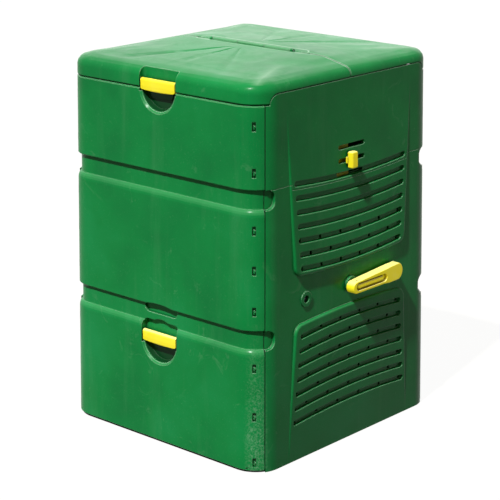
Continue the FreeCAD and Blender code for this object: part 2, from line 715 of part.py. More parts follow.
def corner_fittings():
    """Flange behind the front panels with hooks for their clip slots, front right corner."""
    pieces = []
    spans = ((20.0, 336.0), (422.0, 734.0), (834.0, 1026.0))
    for z0, z1 in spans:
        flange = tapered([(z0, FLANGE_INSET), (z1, FLANGE_INSET)])
        flange = flange.cut(tapered([(z0 - 1, FLANGE_DEPTH), (z1 + 1, FLANGE_DEPTH)]))
        pieces.append(flange.common(corner_wedge(30.0, 70.0)))
        root = tapered([(z0, WALL - 1), (z1, WALL - 1)])
        root = root.cut(tapered([(z0 - 1, FLANGE_DEPTH), (z1 + 1, FLANGE_DEPTH)]))
        pieces.append(root.common(corner_wedge(SEAM_ANGLE + 1.0, 70.0)))
    for z in UPPER_CLIPS + MIDDLE_CLIPS + DOOR_CLIPS[:2]:
        hook = box(-2.3, 2.3, 3.0, FLANGE_DEPTH - 0.5, -8.0, 4.0)
        pieces.append(at_corner(hook, z, CLIP_ANGLE))
    return pieces


def shaft_bosses():
    """Rings in the lever band that carry the shafts' bushes."""
    wall_x = half_width(AXIS_Z)
    pieces = []
    for y in (-SLAT_PITCH, 0.0, SLAT_PITCH):
        proud = 7.0 if y == 0 else 3.0
        pieces.append(rod(BOSS_R, (wall_x - 18, y, AXIS_Z), (wall_x + proud, y, AXIS_Z)))
    return pieces


def boss_bores():
    """Outer hole and inner seat for each bush."""
    wall_x = half_width(AXIS_Z)
    cuts = []
    for y in (-SLAT_PITCH, 0.0, SLAT_PITCH):
        cuts.append(rod(BOSS_HOLE_R, (wall_x - 9, y, AXIS_Z), (wall_x + 20, y, AXIS_Z)))
        cuts.append(rod(BUSH_R, (wall_x - 30, y, AXIS_Z), (wall_x - 6, y, AXIS_Z)))
    return cuts


def side_outline():
    """Region below the side panel's shouldered top edge."""
    top, radius, half = SIDE_RIM_Z, 28.0, 335.5
    q = radius * (1 - math.sqrt(0.5))
    low = FRONT_RIM_Z - 0.5
    steps = ((-600.0, 0.0), (600.0, 0.0), (600.0, low), (half, low),
             ((half - q, top - q), (half - radius, top)), (-half + radius, top),
             ((-half + q, top - q), (-half, low)), (-600.0, low))
    return yz_face(steps, 150.0).extrude(V(350, 0, 0))


def side_split(shift):
    """Region below the joint between the upper and lower side panel."""
    z = UPPER_JOINT_Z - 1 + shift
    end, drop = 256.0, 14.0
    steps = ((-600.0, -10.0), (600.0, -10.0), (600.0, z), (end, z), (end, z - drop),
             ((0.0, z - drop - FIELD_SAG), (-end, z - drop)), (-end, z), (-600.0, z))
    return yz_face(steps, 150.0).extrude(V(350, 0, 0))


def finger_pockets():
    """Sunk walls of the groove ends on the side, and the cuts that open them."""
    sector = side_sector(SEAM_ANGLE + SEAM_GAP_ANGLE)
    beyond_floor = tapered([(-5, GROOVE_DEPTH), (1200, GROOVE_DEPTH)])
    deep = panel_shell([(300.0, 0.0), (850.0, 0.0)], GROOVE_DEPTH + WALL - 1.0)
    walls, cuts = [], []
    for joint in (LOWER_JOINT_Z, UPPER_JOINT_Z):
        wall = deep.common(finger_prism(joint, WALL - 1.0)).common(sector)
        cut = finger_prism(joint).cut(beyond_floor)
        walls += [wall, mirrored_y(wall)]
        cuts += [cut, mirrored_y(cut)]
    return walls, cuts


def side_panels():
    """Upper and lower right side panel, cut from one leaning shell."""
    shell = panel_shell([(0.0, 0.0), (SIDE_RIM_Z + 2, 0.0)]).common(
        side_sector(SEAM_ANGLE + SEAM_GAP_ANGLE))
    pocket_walls, pocket_cuts = finger_pockets()
    whole = fused([shell, field_bulge(True), field_bulge(False)] + pocket_walls)
    hollows = []
    backings = [field_frame(piece, True) for piece in [slot_backing()] + slide_rails()]
    channels = [field_frame(cut, True) for cut in air_slots()]
    for upper in (True, False):
        hollow = field_block(upper, FIELD_WALL, -40.0, -FIELD_WALL, 24.0)
        hollows.append(field_frame(hollow, upper))
        for row in range(CHANNEL_ROWS):
            backings.append(field_frame(channel_backing(upper, row), upper))
            channels += [field_frame(cut, upper) for cut in channel_cut(upper, row)]
    whole = whole.cut(fused_cut(hollows))
    fittings = corner_fittings()
    fittings += [mirrored_y(piece) for piece in fittings]
    whole = fused([whole] + backings + fittings + shaft_bosses())
    for cut in pocket_cuts + boss_bores() + channels:
        whole = whole.cut(cut)
    whole = whole.common(side_outline())
    bores = [screw_bore(1, y) for y in (-27, 27)]
    upper = whole.cut(side_split(0.0)).cut(fused_cut(bores))
    lower = whole.common(side_split(-0.4))
    return upper, lower


def air_plate():
    """Plate behind the air slots, shown half open."""
    x1 = -CHANNEL_BACK - PLATE_GAP
    plate = box(x1 - PLATE_THICK, x1, -PLATE_LENGTH, 0, PLATE_Z[0], PLATE_Z[1])
    lip = box(x1 - PLATE_THICK - 4, x1 - PLATE_THICK + 0.5, -PLATE_LENGTH, -PLATE_LENGTH + 3,
              PLATE_Z[0] + 8, PLATE_Z[1] - 8)
    z = SLOT_Z[1]
    seat = rod(2.5, (x1 - 8, KNOB_Y, z), (x1 + 4, KNOB_Y, z))
    return field_frame(fused([plate, lip]).cut(seat), True)


def air_knob():
    """Upright block on a stem that passes through the middle slot."""
    z = SLOT_Z[1]
    half_y, half_z = KNOB_WIDTH / 2, KNOB_HEIGHT / 2
    grip = box(5.0, KNOB_PROUD, KNOB_Y - half_y, KNOB_Y + half_y, z - half_z, z + half_z)
    grip = grip.makeFillet(5.0, [e for e in grip.Edges if e.CenterOfMass.x > 6])
    foot = box(1.0, 6.0, KNOB_Y - half_y - 4, KNOB_Y + 6, z - 9, z + 9)
    x1 = -CHANNEL_BACK - PLATE_GAP
    stem = box(x1, 3.0, KNOB_Y - 5, KNOB_Y + 5, z - 4.5, z + 4.5)
    peg = rod(2.5, (x1 - 4, KNOB_Y, z), (x1 + 1, KNOB_Y, z))
    return field_frame(fused([grip, foot, stem, peg]), True)


def slat(y):
    """Floor slat: two ribbed wings on a tube."""
    half, length = SLAT_HALF, SLAT_LENGTH_HALF
    plate = box(-length, length, y - half, y + half, AXIS_Z - SLAT_THICK / 2, AXIS_Z + SLAT_THICK / 2)
    tube = rod(TUBE_R, (-length, y, AXIS_Z), (length, y, AXIS_Z))
    ribs = []
    for index in range(9):
        x = -length + 2 + index * (2 * length - 4) / 8.0
        steps = ((y - half + 4, AXIS_Z), (y + half - 4, AXIS_Z), (y + half - 4, AXIS_Z - 5),
                 (y + 10, AXIS_Z - 11), (y - 10, AXIS_Z - 11), (y - half + 4, AXIS_Z - 5))
        ribs.append(yz_face(steps, x - 1.5).extrude(V(3, 0, 0)))
    body = fused([plate, tube] + ribs)
    return body.cut(rod(SHAFT_R, (-length - 1, y, AXIS_Z), (length + 1, y, AXIS_Z)))


def shaft(y):
    """Steel shaft of a slat. The middle one is longer and squared for the lever."""
    wall_x = half_width(AXIS_Z)
    if y:
        return rod(SHAFT_R, (-wall_x + 8, y, AXIS_Z), (wall_x - 8, y, AXIS_Z))
    bar = rod(SHAFT_R, (-wall_x + 8, y, AXIS_Z), (LEVER_INNER_X + 14, y, AXIS_Z))
    flats = box(LEVER_INNER_X, LEVER_INNER_X + 20, y - 10, y + 10, AXIS_Z + 4.2, AXIS_Z + 10)
    other = box(LEVER_INNER_X, LEVER_INNER_X + 20, y - 10, y + 10, AXIS_Z - 10, AXIS_Z - 4.2)
    return bar.cut(fused_cut([flats, other]))


def bushes():
    """Flanged bushes of the right side panel."""
    wall_x = half_width(AXIS_Z)
    out = []
    for y in (-SLAT_PITCH, 0.0, SLAT_PITCH):
        sleeve = rod(BUSH_R, (wall_x - 18, y, AXIS_Z), (wall_x - 6, y, AXIS_Z))
        flange = rod(BUSH_R + 4, (wall_x - 21, y, AXIS_Z), (wall_x - 18, y, AXIS_Z))
        bore = rod(SHAFT_R + PIN_CLEARANCE, (wall_x - 40, y, AXIS_Z), (wall_x, y, AXIS_Z))
        out.append(fused([sleeve, flange]).cut(bore))
    return Part.makeCompound(out)


def lever_outline(x, z):
    """Side view of the lever: round tail on the shaft, straight arm and wider grip."""
    tail, reach = LEVER_TAIL, LEVER_REACH
    low, high = -22.0, 13.0
    tail_r = (high - low) / 2
    grip_half = 25.0
    tip_y = reach - 19.0
    steps = ((tail_r - tail, high), ((-tail, (low + high) / 2), (tail_r - tail, low)), (118.0, low),
             (143.0, -grip_half), (tip_y, -grip_half), ((reach, 0.0), (tip_y, grip_half)),
             (150.0, grip_half - 1.0), (106.0, high + 1.0))
    placed = []
    for step in steps:
        if isinstance(step[0], tuple):
            placed.append(tuple((y, z + dz) for y, dz in step))
        else:
            placed.append((step[0], z + step[1]))
    return yz_face(tuple(placed), x)


def lever():
    """Grip lever with a round rib in a long recess, on the squared shaft end."""
    x0, x1 = LEVER_INNER_X, LEVER_INNER_X + LEVER_THICK
    z = AXIS_Z
    bar = lever_outline(x0, z).extrude(V(x1 - x0, 0, 0))
    slope_y, drop = 125.0, 4.0
    corners = [V(x1, slope_y, z - 40), V(x1 + 2, slope_y, z - 40),
               V(x1 + 2, LEVER_REACH + 5, z - 40), V(x1 - drop, LEVER_REACH + 5, z - 40)]
    bar = bar.cut(Part.Face(Part.makePolygon(corners + corners[:1])).extrude(V(0, 0, 80)))
    outer = [e for e in bar.Edges if e.BoundBox.XMin > x1 - drop - 0.5 and e.BoundBox.YLength > 0.5]
    bar = bar.makeFillet(3.0, outer)
    slot0, slot1, slot_r, slot_z, depth = -2.0, 117.0, 12.0, z - 3.0, 9.0
    recess = fused([box(x1 - depth, x1 + 1, slot0, slot1, slot_z - slot_r, slot_z + slot_r),
                    rod(slot_r, (x1 - depth, slot0, slot_z), (x1 + 1, slot0, slot_z)),
                    rod(slot_r, (x1 - depth, slot1, slot_z), (x1 + 1, slot1, slot_z))])
    rib_r, rib_x = 8.0, x1 - depth
    rib = fused([rod(rib_r, (rib_x, 0, slot_z), (rib_x, slot1 - 8, slot_z)),
                 Part.makeSphere(rib_r, V(rib_x, 0, slot_z)),
                 Part.makeSphere(rib_r, V(rib_x, slot1 - 8, slot_z))])
    under = box(x0 - 1, x0 + 9, 24, 104, z - 18, z + 9)
    hub_bore = rod(SHAFT_R, (x0 - 1, 0, z), (x0 + 14, 0, z))
    hub_bore = hub_bore.cut(box(x0 - 2, x0 + 20, -10, 10, z + 4.2, z + 10))
    hub_bore = hub_bore.cut(box(x0 - 2, x0 + 20, -10, 10, z - 10, z - 4.2))
    return fused([bar.cut(recess), rib]).cut(under).cut(hub_bore)


def crank(y):
    """Crank arm pressed on a shaft, with the pin that the tie bar turns on."""
    t = math.radians(45.0)
    end_y, end_z = y - CRANK_RADIUS * math.sin(t), AXIS_Z - CRANK_RADIUS * math.cos(t)
    x0, x1 = CRANK_X, CRANK_X + CRANK_THICK
    hub = rod(13.0, (x0, y, AXIS_Z), (x1, y, AXIS_Z))
    tip = rod(8.0, (x0, end_y, end_z), (x1, end_y, end_z))
    web = box(x0, x1, y - 7, y + 7, AXIS_Z - CRANK_RADIUS, AXIS_Z)
    web.rotate(V(0, y, AXIS_Z), V(1, 0, 0), -45)
    pin = rod(CRANK_PIN_R, (BAR_X - 3.5, end_y, end_z), (x0 + 1, end_y, end_z))
    bore = rod(SHAFT_R, (x0 - 5, y, AXIS_Z), (x1 + 5, y, AXIS_Z))
    return fused([hub, tip, web, pin]).cut(bore)


def tie_bar():
    """Flat bar that joins the three crank pins."""
    t = math.radians(45.0)
    y = -CRANK_RADIUS * math.sin(t)
    z = AXIS_Z - CRANK_RADIUS * math.cos(t)
    x0, x1 = BAR_X, BAR_X + 5.6
    parts = [box(x0, x1, y - SLAT_PITCH, y + SLAT_PITCH, z - 5, z + 5)]
    bores = []
    for shift in (-SLAT_PITCH, 0.0, SLAT_PITCH):
        parts.append(rod(7.5, (x0, y + shift, z), (x1, y + shift, z)))
        bores.append(rod(CRANK_PIN_R + PIN_CLEARANCE, (x0 - 1, y + shift, z), (x1 + 1, y + shift, z)))
    return fused(parts).cut(fused_cut(bores))


def front_ledge():
    """Fixed shelf between the front wall and the first slat."""
    z0, z1 = AXIS_Z - 2.5, AXIS_Z + 2.5
    edge = -SLAT_PITCH - SLAT_HALF - 4.0
    plate = box(-400, 400, -450, edge, z0, z1)
    lip = box(-400, 400, edge - 4, edge, z0 - 14, z1)
    ribs = [box(x - 1.5, x + 1.5, -450, edge - 2, z0 - 10, z0 + 1) for x in (-300, -195, -65, 65, 195, 300)]
    body = fused([plate, lip] + ribs)
    inside = tapered([(AXIS_Z - 40, WALL), (AXIS_Z + 20, WALL)])
    flange = tapered([(AXIS_Z - 40, 0.0), (AXIS_Z + 20, 0.0)])
    flange = flange.cut(tapered([(AXIS_Z - 41, FLANGE_DEPTH + 0.3), (AXIS_Z + 21, FLANGE_DEPTH + 0.3)]))
    corner = flange.common(corner_wedge(25.0, 75.0))
    slots = [box(x - 1.8, x + 1.8, -450, -half_depth(AXIS_Z) + 13.3, z0 - 20, z1 + 5)
             for x in (-260, -130, 130, 260)]
    body = body.common(inside).cut(fused_cut([corner, mirrored_x(corner)] + slots))
    holes = [rod(2.5, (sx * 340, -330, AXIS_Z - 9), (sx * 380, -330, AXIS_Z - 9)) for sx in (-1, 1)]
    lugs = []
    for sx in (-1, 1):
        x0, x1 = sorted((sx * (half_width(AXIS_Z) - WALL - 6), sx * (half_width(AXIS_Z) + 3)))
        lugs.append(box(x0, x1, -324, edge, z0 - 18, z1).common(inside))
    return fused([body] + lugs)


def base_frame():
    """Ring on the ground inside the panels with the ears of both door hinges."""
    ring = tapered([(0, FLANGE_DEPTH + 0.4), (16, FLANGE_DEPTH + 0.4)])
    ring = ring.cut(tapered([(-1, 44.0), (17, 44.0)]))
    strip = -half_depth(8) + 17.0
    ring = ring.cut(box(-500, 500, -500, strip, -1, 30))
    ring = ring.cut(box(-500, 500, -strip, 500, -1, 30))
    for sx in (-1, 1):
        x0, x1 = sorted((sx * 366.0, sx * 400.0))
        ring = ring.cut(box(x0, x1, -292, -260, -1, 20)).cut(box(x0, x1, 260, 292, -1, 20))
    parts = [ring]
    wall_x = half_width(0.0) - WALL
    for sx in (-1, 1):
        x0, x1 = sorted((sx * (wall_x - 12), sx * (wall_x + 2)))
        pad = box(x0, x1, -250, 250, 0, 16)
        parts.append(pad.common(tapered([(0, WALL + 2), (16, WALL + 2)])))
    y, z = door_axis()
    ears, bores = [], []
    for x in DOOR_KNUCKLES:
        for side in (-1, 1):
            near = x + side * (KNUCKLE_LENGTH / 2 + 1)
            x0, x1 = sorted((near, near + side * EAR_LENGTH))
            ears.append(rod(DOOR_KNUCKLE_R - 0.3, (x0, y, z), (x1, y, z)))
            ears.append(box(x0, x1, y, strip + 3, z - 1, z + 4))
    front = fused(ears)
    front = front.cut(rod(DOOR_PIN_R, (-400, y, z), (400, y, z)))
    parts += [front, turned(front)]
    return fused(parts)


def door_hinge_pin():
    y, z = door_axis()
    reach = DOOR_KNUCKLES[-1] + KNUCKLE_LENGTH / 2 + 1 + EAR_LENGTH
    return rod(DOOR_PIN_R, (-reach, y, z), (reach, y, z))


def write(name, shape):
    shape.exportStep("parts/%s.step" % name)
    print(name, "solids", len(shape.Solids), "valid", shape.isValid(), "cm3", round(shape.Volume / 1000))


def write_pair(name, shape):
    """Writes a piece of the front or right wall and its twin on the opposite wall."""
    opposite = {"front": "rear", "right": "left"}
    first = [word for word in opposite if word in name][0]
    write(name, shape)
    write(name.replace(first, opposite[first]), turned(shape))


write_pair("front_upper_panel", front_upper_panel())
write_pair("front_middle_panel", front_middle_panel())
write_pair("front_door", front_door())
write_pair("front_door_latch", latch(DOOR_LATCH_Z))
write_pair("front_door_latch_pin", latch_pin(DOOR_LATCH_Z))
write_pair("front_lid_latch", latch(LID_LATCH_Z))
write_pair("front_lid_latch_pin", latch_pin(LID_LATCH_Z))
write_pair("front_door_hinge_pin", door_hinge_pin())
write_pair("front_floor_ledge", front_ledge())

upper_side, lower_side = side_panels()
write_pair("right_upper_side_panel", upper_side)
write_pair("right_lower_side_panel", lower_side)
write_pair("right_air_plate", air_plate())
write_pair("right_air_knob", air_knob())
write_pair("right_shaft_bushes", bushes())

lid_front, lid_rear = lid_wings()
write("lid_front_wing", lid_front)
write("lid_rear_wing", lid_rear)
write("lid_bridge", lid_bridge())
write("lid_hinge_rod", rod(ROD_R, (-STRIP_HALF - 10, 0, LID_AXIS_Z), (STRIP_HALF + 10, 0, LID_AXIS_Z)))
write("bridge_screws", bridge_screws())

for place, slat_y in (("front", -SLAT_PITCH), ("centre", 0.0), ("rear", SLAT_PITCH)):
    write(place + "_slat", slat(slat_y))
    write(place + "_shaft", shaft(slat_y))
    write(place + "_crank", crank(slat_y))
write("tie_bar", tie_bar())
write("lever", lever())
write("base_frame", base_frame())
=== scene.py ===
# %% [markdown]
# # A compost bin with a lid
# This lesson dresses a garden compost bin in Blender. The bin is a tall box of moulded green panels
# clipped together at the corners. It has a lid of two wings, two doors at the ground, air slides in
# the sides and a slatted floor that a yellow lever turns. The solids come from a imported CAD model
# that is loaded as a fixed frame, so the work here is finish, small forms and light.

import bpy
import bmesh
import math
from mathutils import Matrix, Vector
from mathutils.bvhtree import BVHTree


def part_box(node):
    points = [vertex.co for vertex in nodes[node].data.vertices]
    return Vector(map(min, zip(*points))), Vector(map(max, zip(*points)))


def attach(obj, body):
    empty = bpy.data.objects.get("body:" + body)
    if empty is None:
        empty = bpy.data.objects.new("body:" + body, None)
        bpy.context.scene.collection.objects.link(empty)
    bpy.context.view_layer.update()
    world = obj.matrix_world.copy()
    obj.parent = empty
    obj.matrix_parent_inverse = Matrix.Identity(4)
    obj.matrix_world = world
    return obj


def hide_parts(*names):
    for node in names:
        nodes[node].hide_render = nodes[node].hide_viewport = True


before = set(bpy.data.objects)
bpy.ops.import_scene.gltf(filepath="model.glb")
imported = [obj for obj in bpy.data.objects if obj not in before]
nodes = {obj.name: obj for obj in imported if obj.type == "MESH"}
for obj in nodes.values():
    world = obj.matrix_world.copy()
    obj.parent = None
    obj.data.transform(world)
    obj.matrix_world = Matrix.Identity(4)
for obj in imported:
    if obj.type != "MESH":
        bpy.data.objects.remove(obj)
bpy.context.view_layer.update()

# %% [markdown]
# ## The walls in four numbers
# The walls stand on a rounded rectangle and lean in evenly on all sides. The half width, half depth,
# lean and corner radius place everything below that sits in a wall or a corner: the clip noses, the
# painted shade in the joints and in the finger scoops. Blender counts in metres, and one constant
# turns the millimetres of a moulding into them.

# %% Driving sizes
MM = 0.001
FOOT_HALF_WIDTH = 384.0 * MM
FOOT_HALF_DEPTH = 403.0 * MM
WALL_LEAN = 14.0 / 1100.0
CORNER_RADIUS = 80.0 * MM
print("wall lean", round(math.degrees(math.atan(WALL_LEAN)), 2), "degrees")

# %% [markdown]
# ## The camera
# The photograph was taken from the front right, a little above the lid, with a long lens. Its
# direction, distance and focal length were found by matching the bin's edges, so they are plain
# values here. The camera's axes are built by hand: right, up and back. The back axis points from
# the target to the camera, because a Blender camera looks along its own minus Z.

# %% Place the camera
AZIMUTH = math.radians(41.89)
ELEVATION = math.radians(16.51)
ROLL = math.radians(-0.05)
DISTANCE = 5.2359
TARGET_HEIGHT = 0.4945
TARGET_SHIFT = -0.0050
LENS = 125.64
SENSOR_WIDTH = 36.0
FAR_CLIP = 60.0


def put(name, data):
    """An object with this data, placed in the scene."""
    thing = bpy.data.objects.new(name, data)
    bpy.context.scene.collection.objects.link(thing)
    return thing


back = Vector((math.sin(AZIMUTH) * math.cos(ELEVATION), -math.cos(AZIMUTH) * math.cos(ELEVATION),
               math.sin(ELEVATION)))
right = Vector((math.cos(AZIMUTH), math.sin(AZIMUTH), 0.0))
up = back.cross(right)
rolled_right = math.cos(ROLL) * right + math.sin(ROLL) * up
rolled_up = math.cos(ROLL) * up - math.sin(ROLL) * right
target = Vector((0.0, 0.0, TARGET_HEIGHT)) + TARGET_SHIFT * right

camera_data = bpy.data.cameras.new("photo_camera")
camera_data.lens = LENS
camera_data.sensor_width = SENSOR_WIDTH
camera_data.clip_end = FAR_CLIP
camera = put("photo_camera", camera_data)
axes = Matrix((rolled_right, rolled_up, back)).transposed().to_4x4()
camera.matrix_world = Matrix.Translation(target + DISTANCE * back) @ axes
bpy.context.scene.camera = camera
print("camera at", tuple(round(v, 3) for v in camera.matrix_world.translation))

# %% [markdown]
# ## Two small helpers for materials
# Colours are easiest to read as the hex values of a paint chart, but shaders work in linear light,
# so one function turns sRGB hex into linear values. A second function adds any shader node with its
# settings and links. With these two, each material below reads like a list of what the surface does.

# %% Helpers for colours and nodes


def linear(hex_colour):
    """Linear RGBA from an sRGB hex string."""
    values = []
    for start in (0, 2, 4):
        channel = int(hex_colour[start:start + 2], 16) / 255.0
        values.append(channel / 12.92 if channel <= 0.04045 else ((channel + 0.055) / 1.055) ** 2.4)
    return (*values, 1.0)


def add(tree, kind, settings=None, **inputs):
    """Adds a node with its settings and its inputs.

    An input goes by its name, with _ for a space, or by its place, as i0 or i1. A value that is a
    node or a socket is linked, any other is set. A linked node gives its first output that is in
    use. The setting stops fills a colour ramp with positions and hex colours.
    """
    node = tree.nodes.new(kind)
    settings = dict(settings or {})
    stops = settings.pop("stops", ())
    for key, value in settings.items():
        setattr(node, key, value)
    if stops:
        elements = node.color_ramp.elements
        while len(elements) < len(stops):
            elements.new(1.0)
        for element, (position, colour) in zip(elements, stops):
            element.position = position
            element.color = linear(colour)
    for key, value in inputs.items():
        name = key.replace("_", " ")
        socket = node.inputs[int(key[1:])] if key[0] == "i" and key[1:].isdigit() else node.inputs[name]
        if isinstance(value, bpy.types.Node):
            value = next(output for output in value.outputs if output.enabled)
        if isinstance(value, bpy.types.NodeSocket):
            tree.links.new(value, socket)
        else:
            socket.default_value = value
    return node


def blank_material(name):
    """An empty material, its node tree, and the coordinates of the piece that wears it."""
    material = bpy.data.materials.new(name)
    material.use_nodes = True
    tree = material.node_tree
    tree.nodes.clear()
    return material, tree, add(tree, "ShaderNodeTexCoord").outputs["Object"]


def per_mm(size):
    """Noise scale that gives a pattern of this size in millimetres."""
    return 1.0 / (size * MM)


print("paper white", linear("FFFFFF"))

# %% [markdown]
# ## Moulded green polypropylene
# The panels, lid and doors are injection-moulded polypropylene with UV stabiliser, a satin plastic
# whose skin copies the polished mould. The colour is dyed through, so it is very even: only wide
# clouds where the melt cooled at different speeds, faint streaks where rain has run down the walls,
# and a haze of pale dust. Each of them is a noise at its real size. A rain streak is the same noise
# squeezed in height, which makes it ten times as tall as it is wide.

# %% Colour under clouds, streaks and dust
CLOUD_SIZE = 240               # sizes of the patterns, in millimetres
RAIN_SIZE = 60
SMUDGE_SIZE = 90
GRIT_SIZE = 5
RAIN_SQUEEZE = 0.10
SMUDGES_PER_HAZE = 4.0         # smudges hold more dust than streaks do
GRIT_SHARE = 0.10


def weathered_colour(tree, place, dark, base, pale, dust_and_sheen, haze):
    """Plastic with clouds, rain streaks, smudges and grit, and the smudges alone."""
    clouds = add(tree, "ShaderNodeTexNoise", None, Vector=place, Scale=per_mm(CLOUD_SIZE), Detail=4.0,
                 Roughness=0.55)
    colour = add(tree, "ShaderNodeValToRGB", {"stops": ((0.32, dark), (0.50, base), (0.70, pale))},
                 Fac=clouds)
    squeezed = add(tree, "ShaderNodeMapping", None, Vector=place, Scale=(1.0, 1.0, RAIN_SQUEEZE))
    rain = add(tree, "ShaderNodeTexNoise", None, Vector=squeezed, Scale=per_mm(RAIN_SIZE), Detail=5.0,
               Roughness=0.6)
    smudges = add(tree, "ShaderNodeTexNoise", None, Vector=place, Scale=per_mm(SMUDGE_SIZE), Detail=7.0,
                  Roughness=0.68, Distortion=1.2)
    grit = add(tree, "ShaderNodeTexNoise", None, Vector=place, Scale=per_mm(GRIT_SIZE), Detail=3.0,
               Roughness=0.7)
    for pattern, low, high, most in ((rain, 0.54, 0.80, haze),
                                     (smudges, 0.60, 0.84, haze * SMUDGES_PER_HAZE),
                                     (grit, 0.60, 0.80, GRIT_SHARE)):
        share = add(tree, "ShaderNodeMapRange", None, Value=pattern, From_Min=low, From_Max=high,
                    To_Max=most)
        colour = add(tree, "ShaderNodeMix", {"data_type": "RGBA"}, i0=share, i6=colour, i7=linear(dust_and_sheen))
    return colour, smudges


print("streaks", RAIN_SIZE, "mm wide and", RAIN_SIZE / RAIN_SQUEEZE, "mm tall")

# %% [markdown]
# ## What the ground does to the foot
# Rain throws soil at the corners, where it dries to pale speckles, and the side walls are darker
# towards the ground. Both belong to places on the bin, so they read its own coordinates: the
# distance from the middle planes and the height say where they begin and where they are full.

# %% Splash and a darker foot
SPLASH_X = (0.326, 0.346)      # distance from the middle plane where it begins and where it is full
SPLASH_Y = (0.352, 0.366)
SPLASH_Z = (0.45, 0.10)        # the same for the height
SPECKLE_SIZE = 6               # in millimetres


def soiled_foot(tree, place, reach, colour, dust_and_sheen, shade_tint, splash, darker_foot):
    """Pale speckles on the low corners and a darker foot of the side walls."""
    across, along, low = [
        add(tree, "ShaderNodeMapRange", None, Value=reach.outputs[axis], From_Min=begin, From_Max=full)
        for axis, (begin, full) in (("X", SPLASH_X), ("Y", SPLASH_Y), ("Z", SPLASH_Z))]
    speckle = add(tree, "ShaderNodeTexNoise", None, Vector=place, Scale=per_mm(SPECKLE_SIZE), Detail=4.0,
                  Roughness=0.80)
    speckle = add(tree, "ShaderNodeMapRange", None, Value=speckle, From_Min=0.46, From_Max=0.66,
                  To_Max=splash)
    corner = add(tree, "ShaderNodeMath", {"operation": "MULTIPLY"}, i0=across, i1=along)
    corner = add(tree, "ShaderNodeMath", {"operation": "MULTIPLY"}, i0=corner, i1=low)
    corner = add(tree, "ShaderNodeMath", {"operation": "MULTIPLY"}, i0=corner, i1=speckle)
    colour = add(tree, "ShaderNodeMix", {"data_type": "RGBA"}, i0=corner, i6=colour, i7=linear(dust_and_sheen))
    # side walls made darker towards the ground
    flank = add(tree, "ShaderNodeMath", {"operation": "SUBTRACT"}, i0=across, i1=along)
    flank = add(tree, "ShaderNodeMath", {"operation": "MULTIPLY", "use_clamp": True}, i0=flank, i1=low)
    flank = add(tree, "ShaderNodeMath", {"operation": "MULTIPLY"}, i0=flank, i1=darker_foot)
    return add(tree, "ShaderNodeMix", {"data_type": "RGBA"}, i0=flank, i6=colour, i7=linear(shade_tint))


print("speckles up to", SPLASH_Z[0], "m")

# %% [markdown]
# ## Edges that catch the light
# A moulded edge is never sharp, and hands and tools rub it a little pale. The Bevel node gives a
# rounded normal without new faces. Where that differs from the plain normal there is an edge. The
# edges that look up get a painted highlight, and the others only a little real wear. Slopes that lean
# towards the sky get a painted sheen too, but hardly on the lid. Close to the ground the plain normal
# stays, because the Bevel node leaves stains on the thin knuckles of the door hinge.

# %% Rounded edges, painted highlights and painted sheen
HINGE_ZONE = (0.022, 0.030)    # heights between which the rounded normal takes over
EDGE_MATCH = (0.985, 0.86)     # agreement of the two normals where an edge begins and is full
SKYWARD = (0.05, 0.45)         # tilts between which an edge starts to look up
SIDEWAYS_RUB = 0.08            # share of the rubbing on an edge that doesn't look up
EDGE_HIGHLIGHT_AND_WEAR_SHARE = 0.85
LID_SHEEN_SHARE = 0.8
UNDER_LID = (1.030, 1.045)     # heights between which the painted sheen on slopes fades
LID_PAINTED_SHEEN = 0.15              # and what is left of it above them


def soft_normal(tree, reach, edge_radius):
    """Normal with rounded edges, the plain normal, and a mask of what is clear of the ground."""
    rounded = add(tree, "ShaderNodeBevel", {"samples": 4}, Radius=edge_radius * MM)
    plain = add(tree, "ShaderNodeNewGeometry").outputs["Normal"]
    clear = add(tree, "ShaderNodeMapRange", None, Value=reach.outputs["Z"], From_Min=HINGE_ZONE[0],
                From_Max=HINGE_ZONE[1])
    soft = add(tree, "ShaderNodeMix", {"data_type": "VECTOR"}, i0=clear, i4=plain, i5=rounded)
    return soft, plain, clear


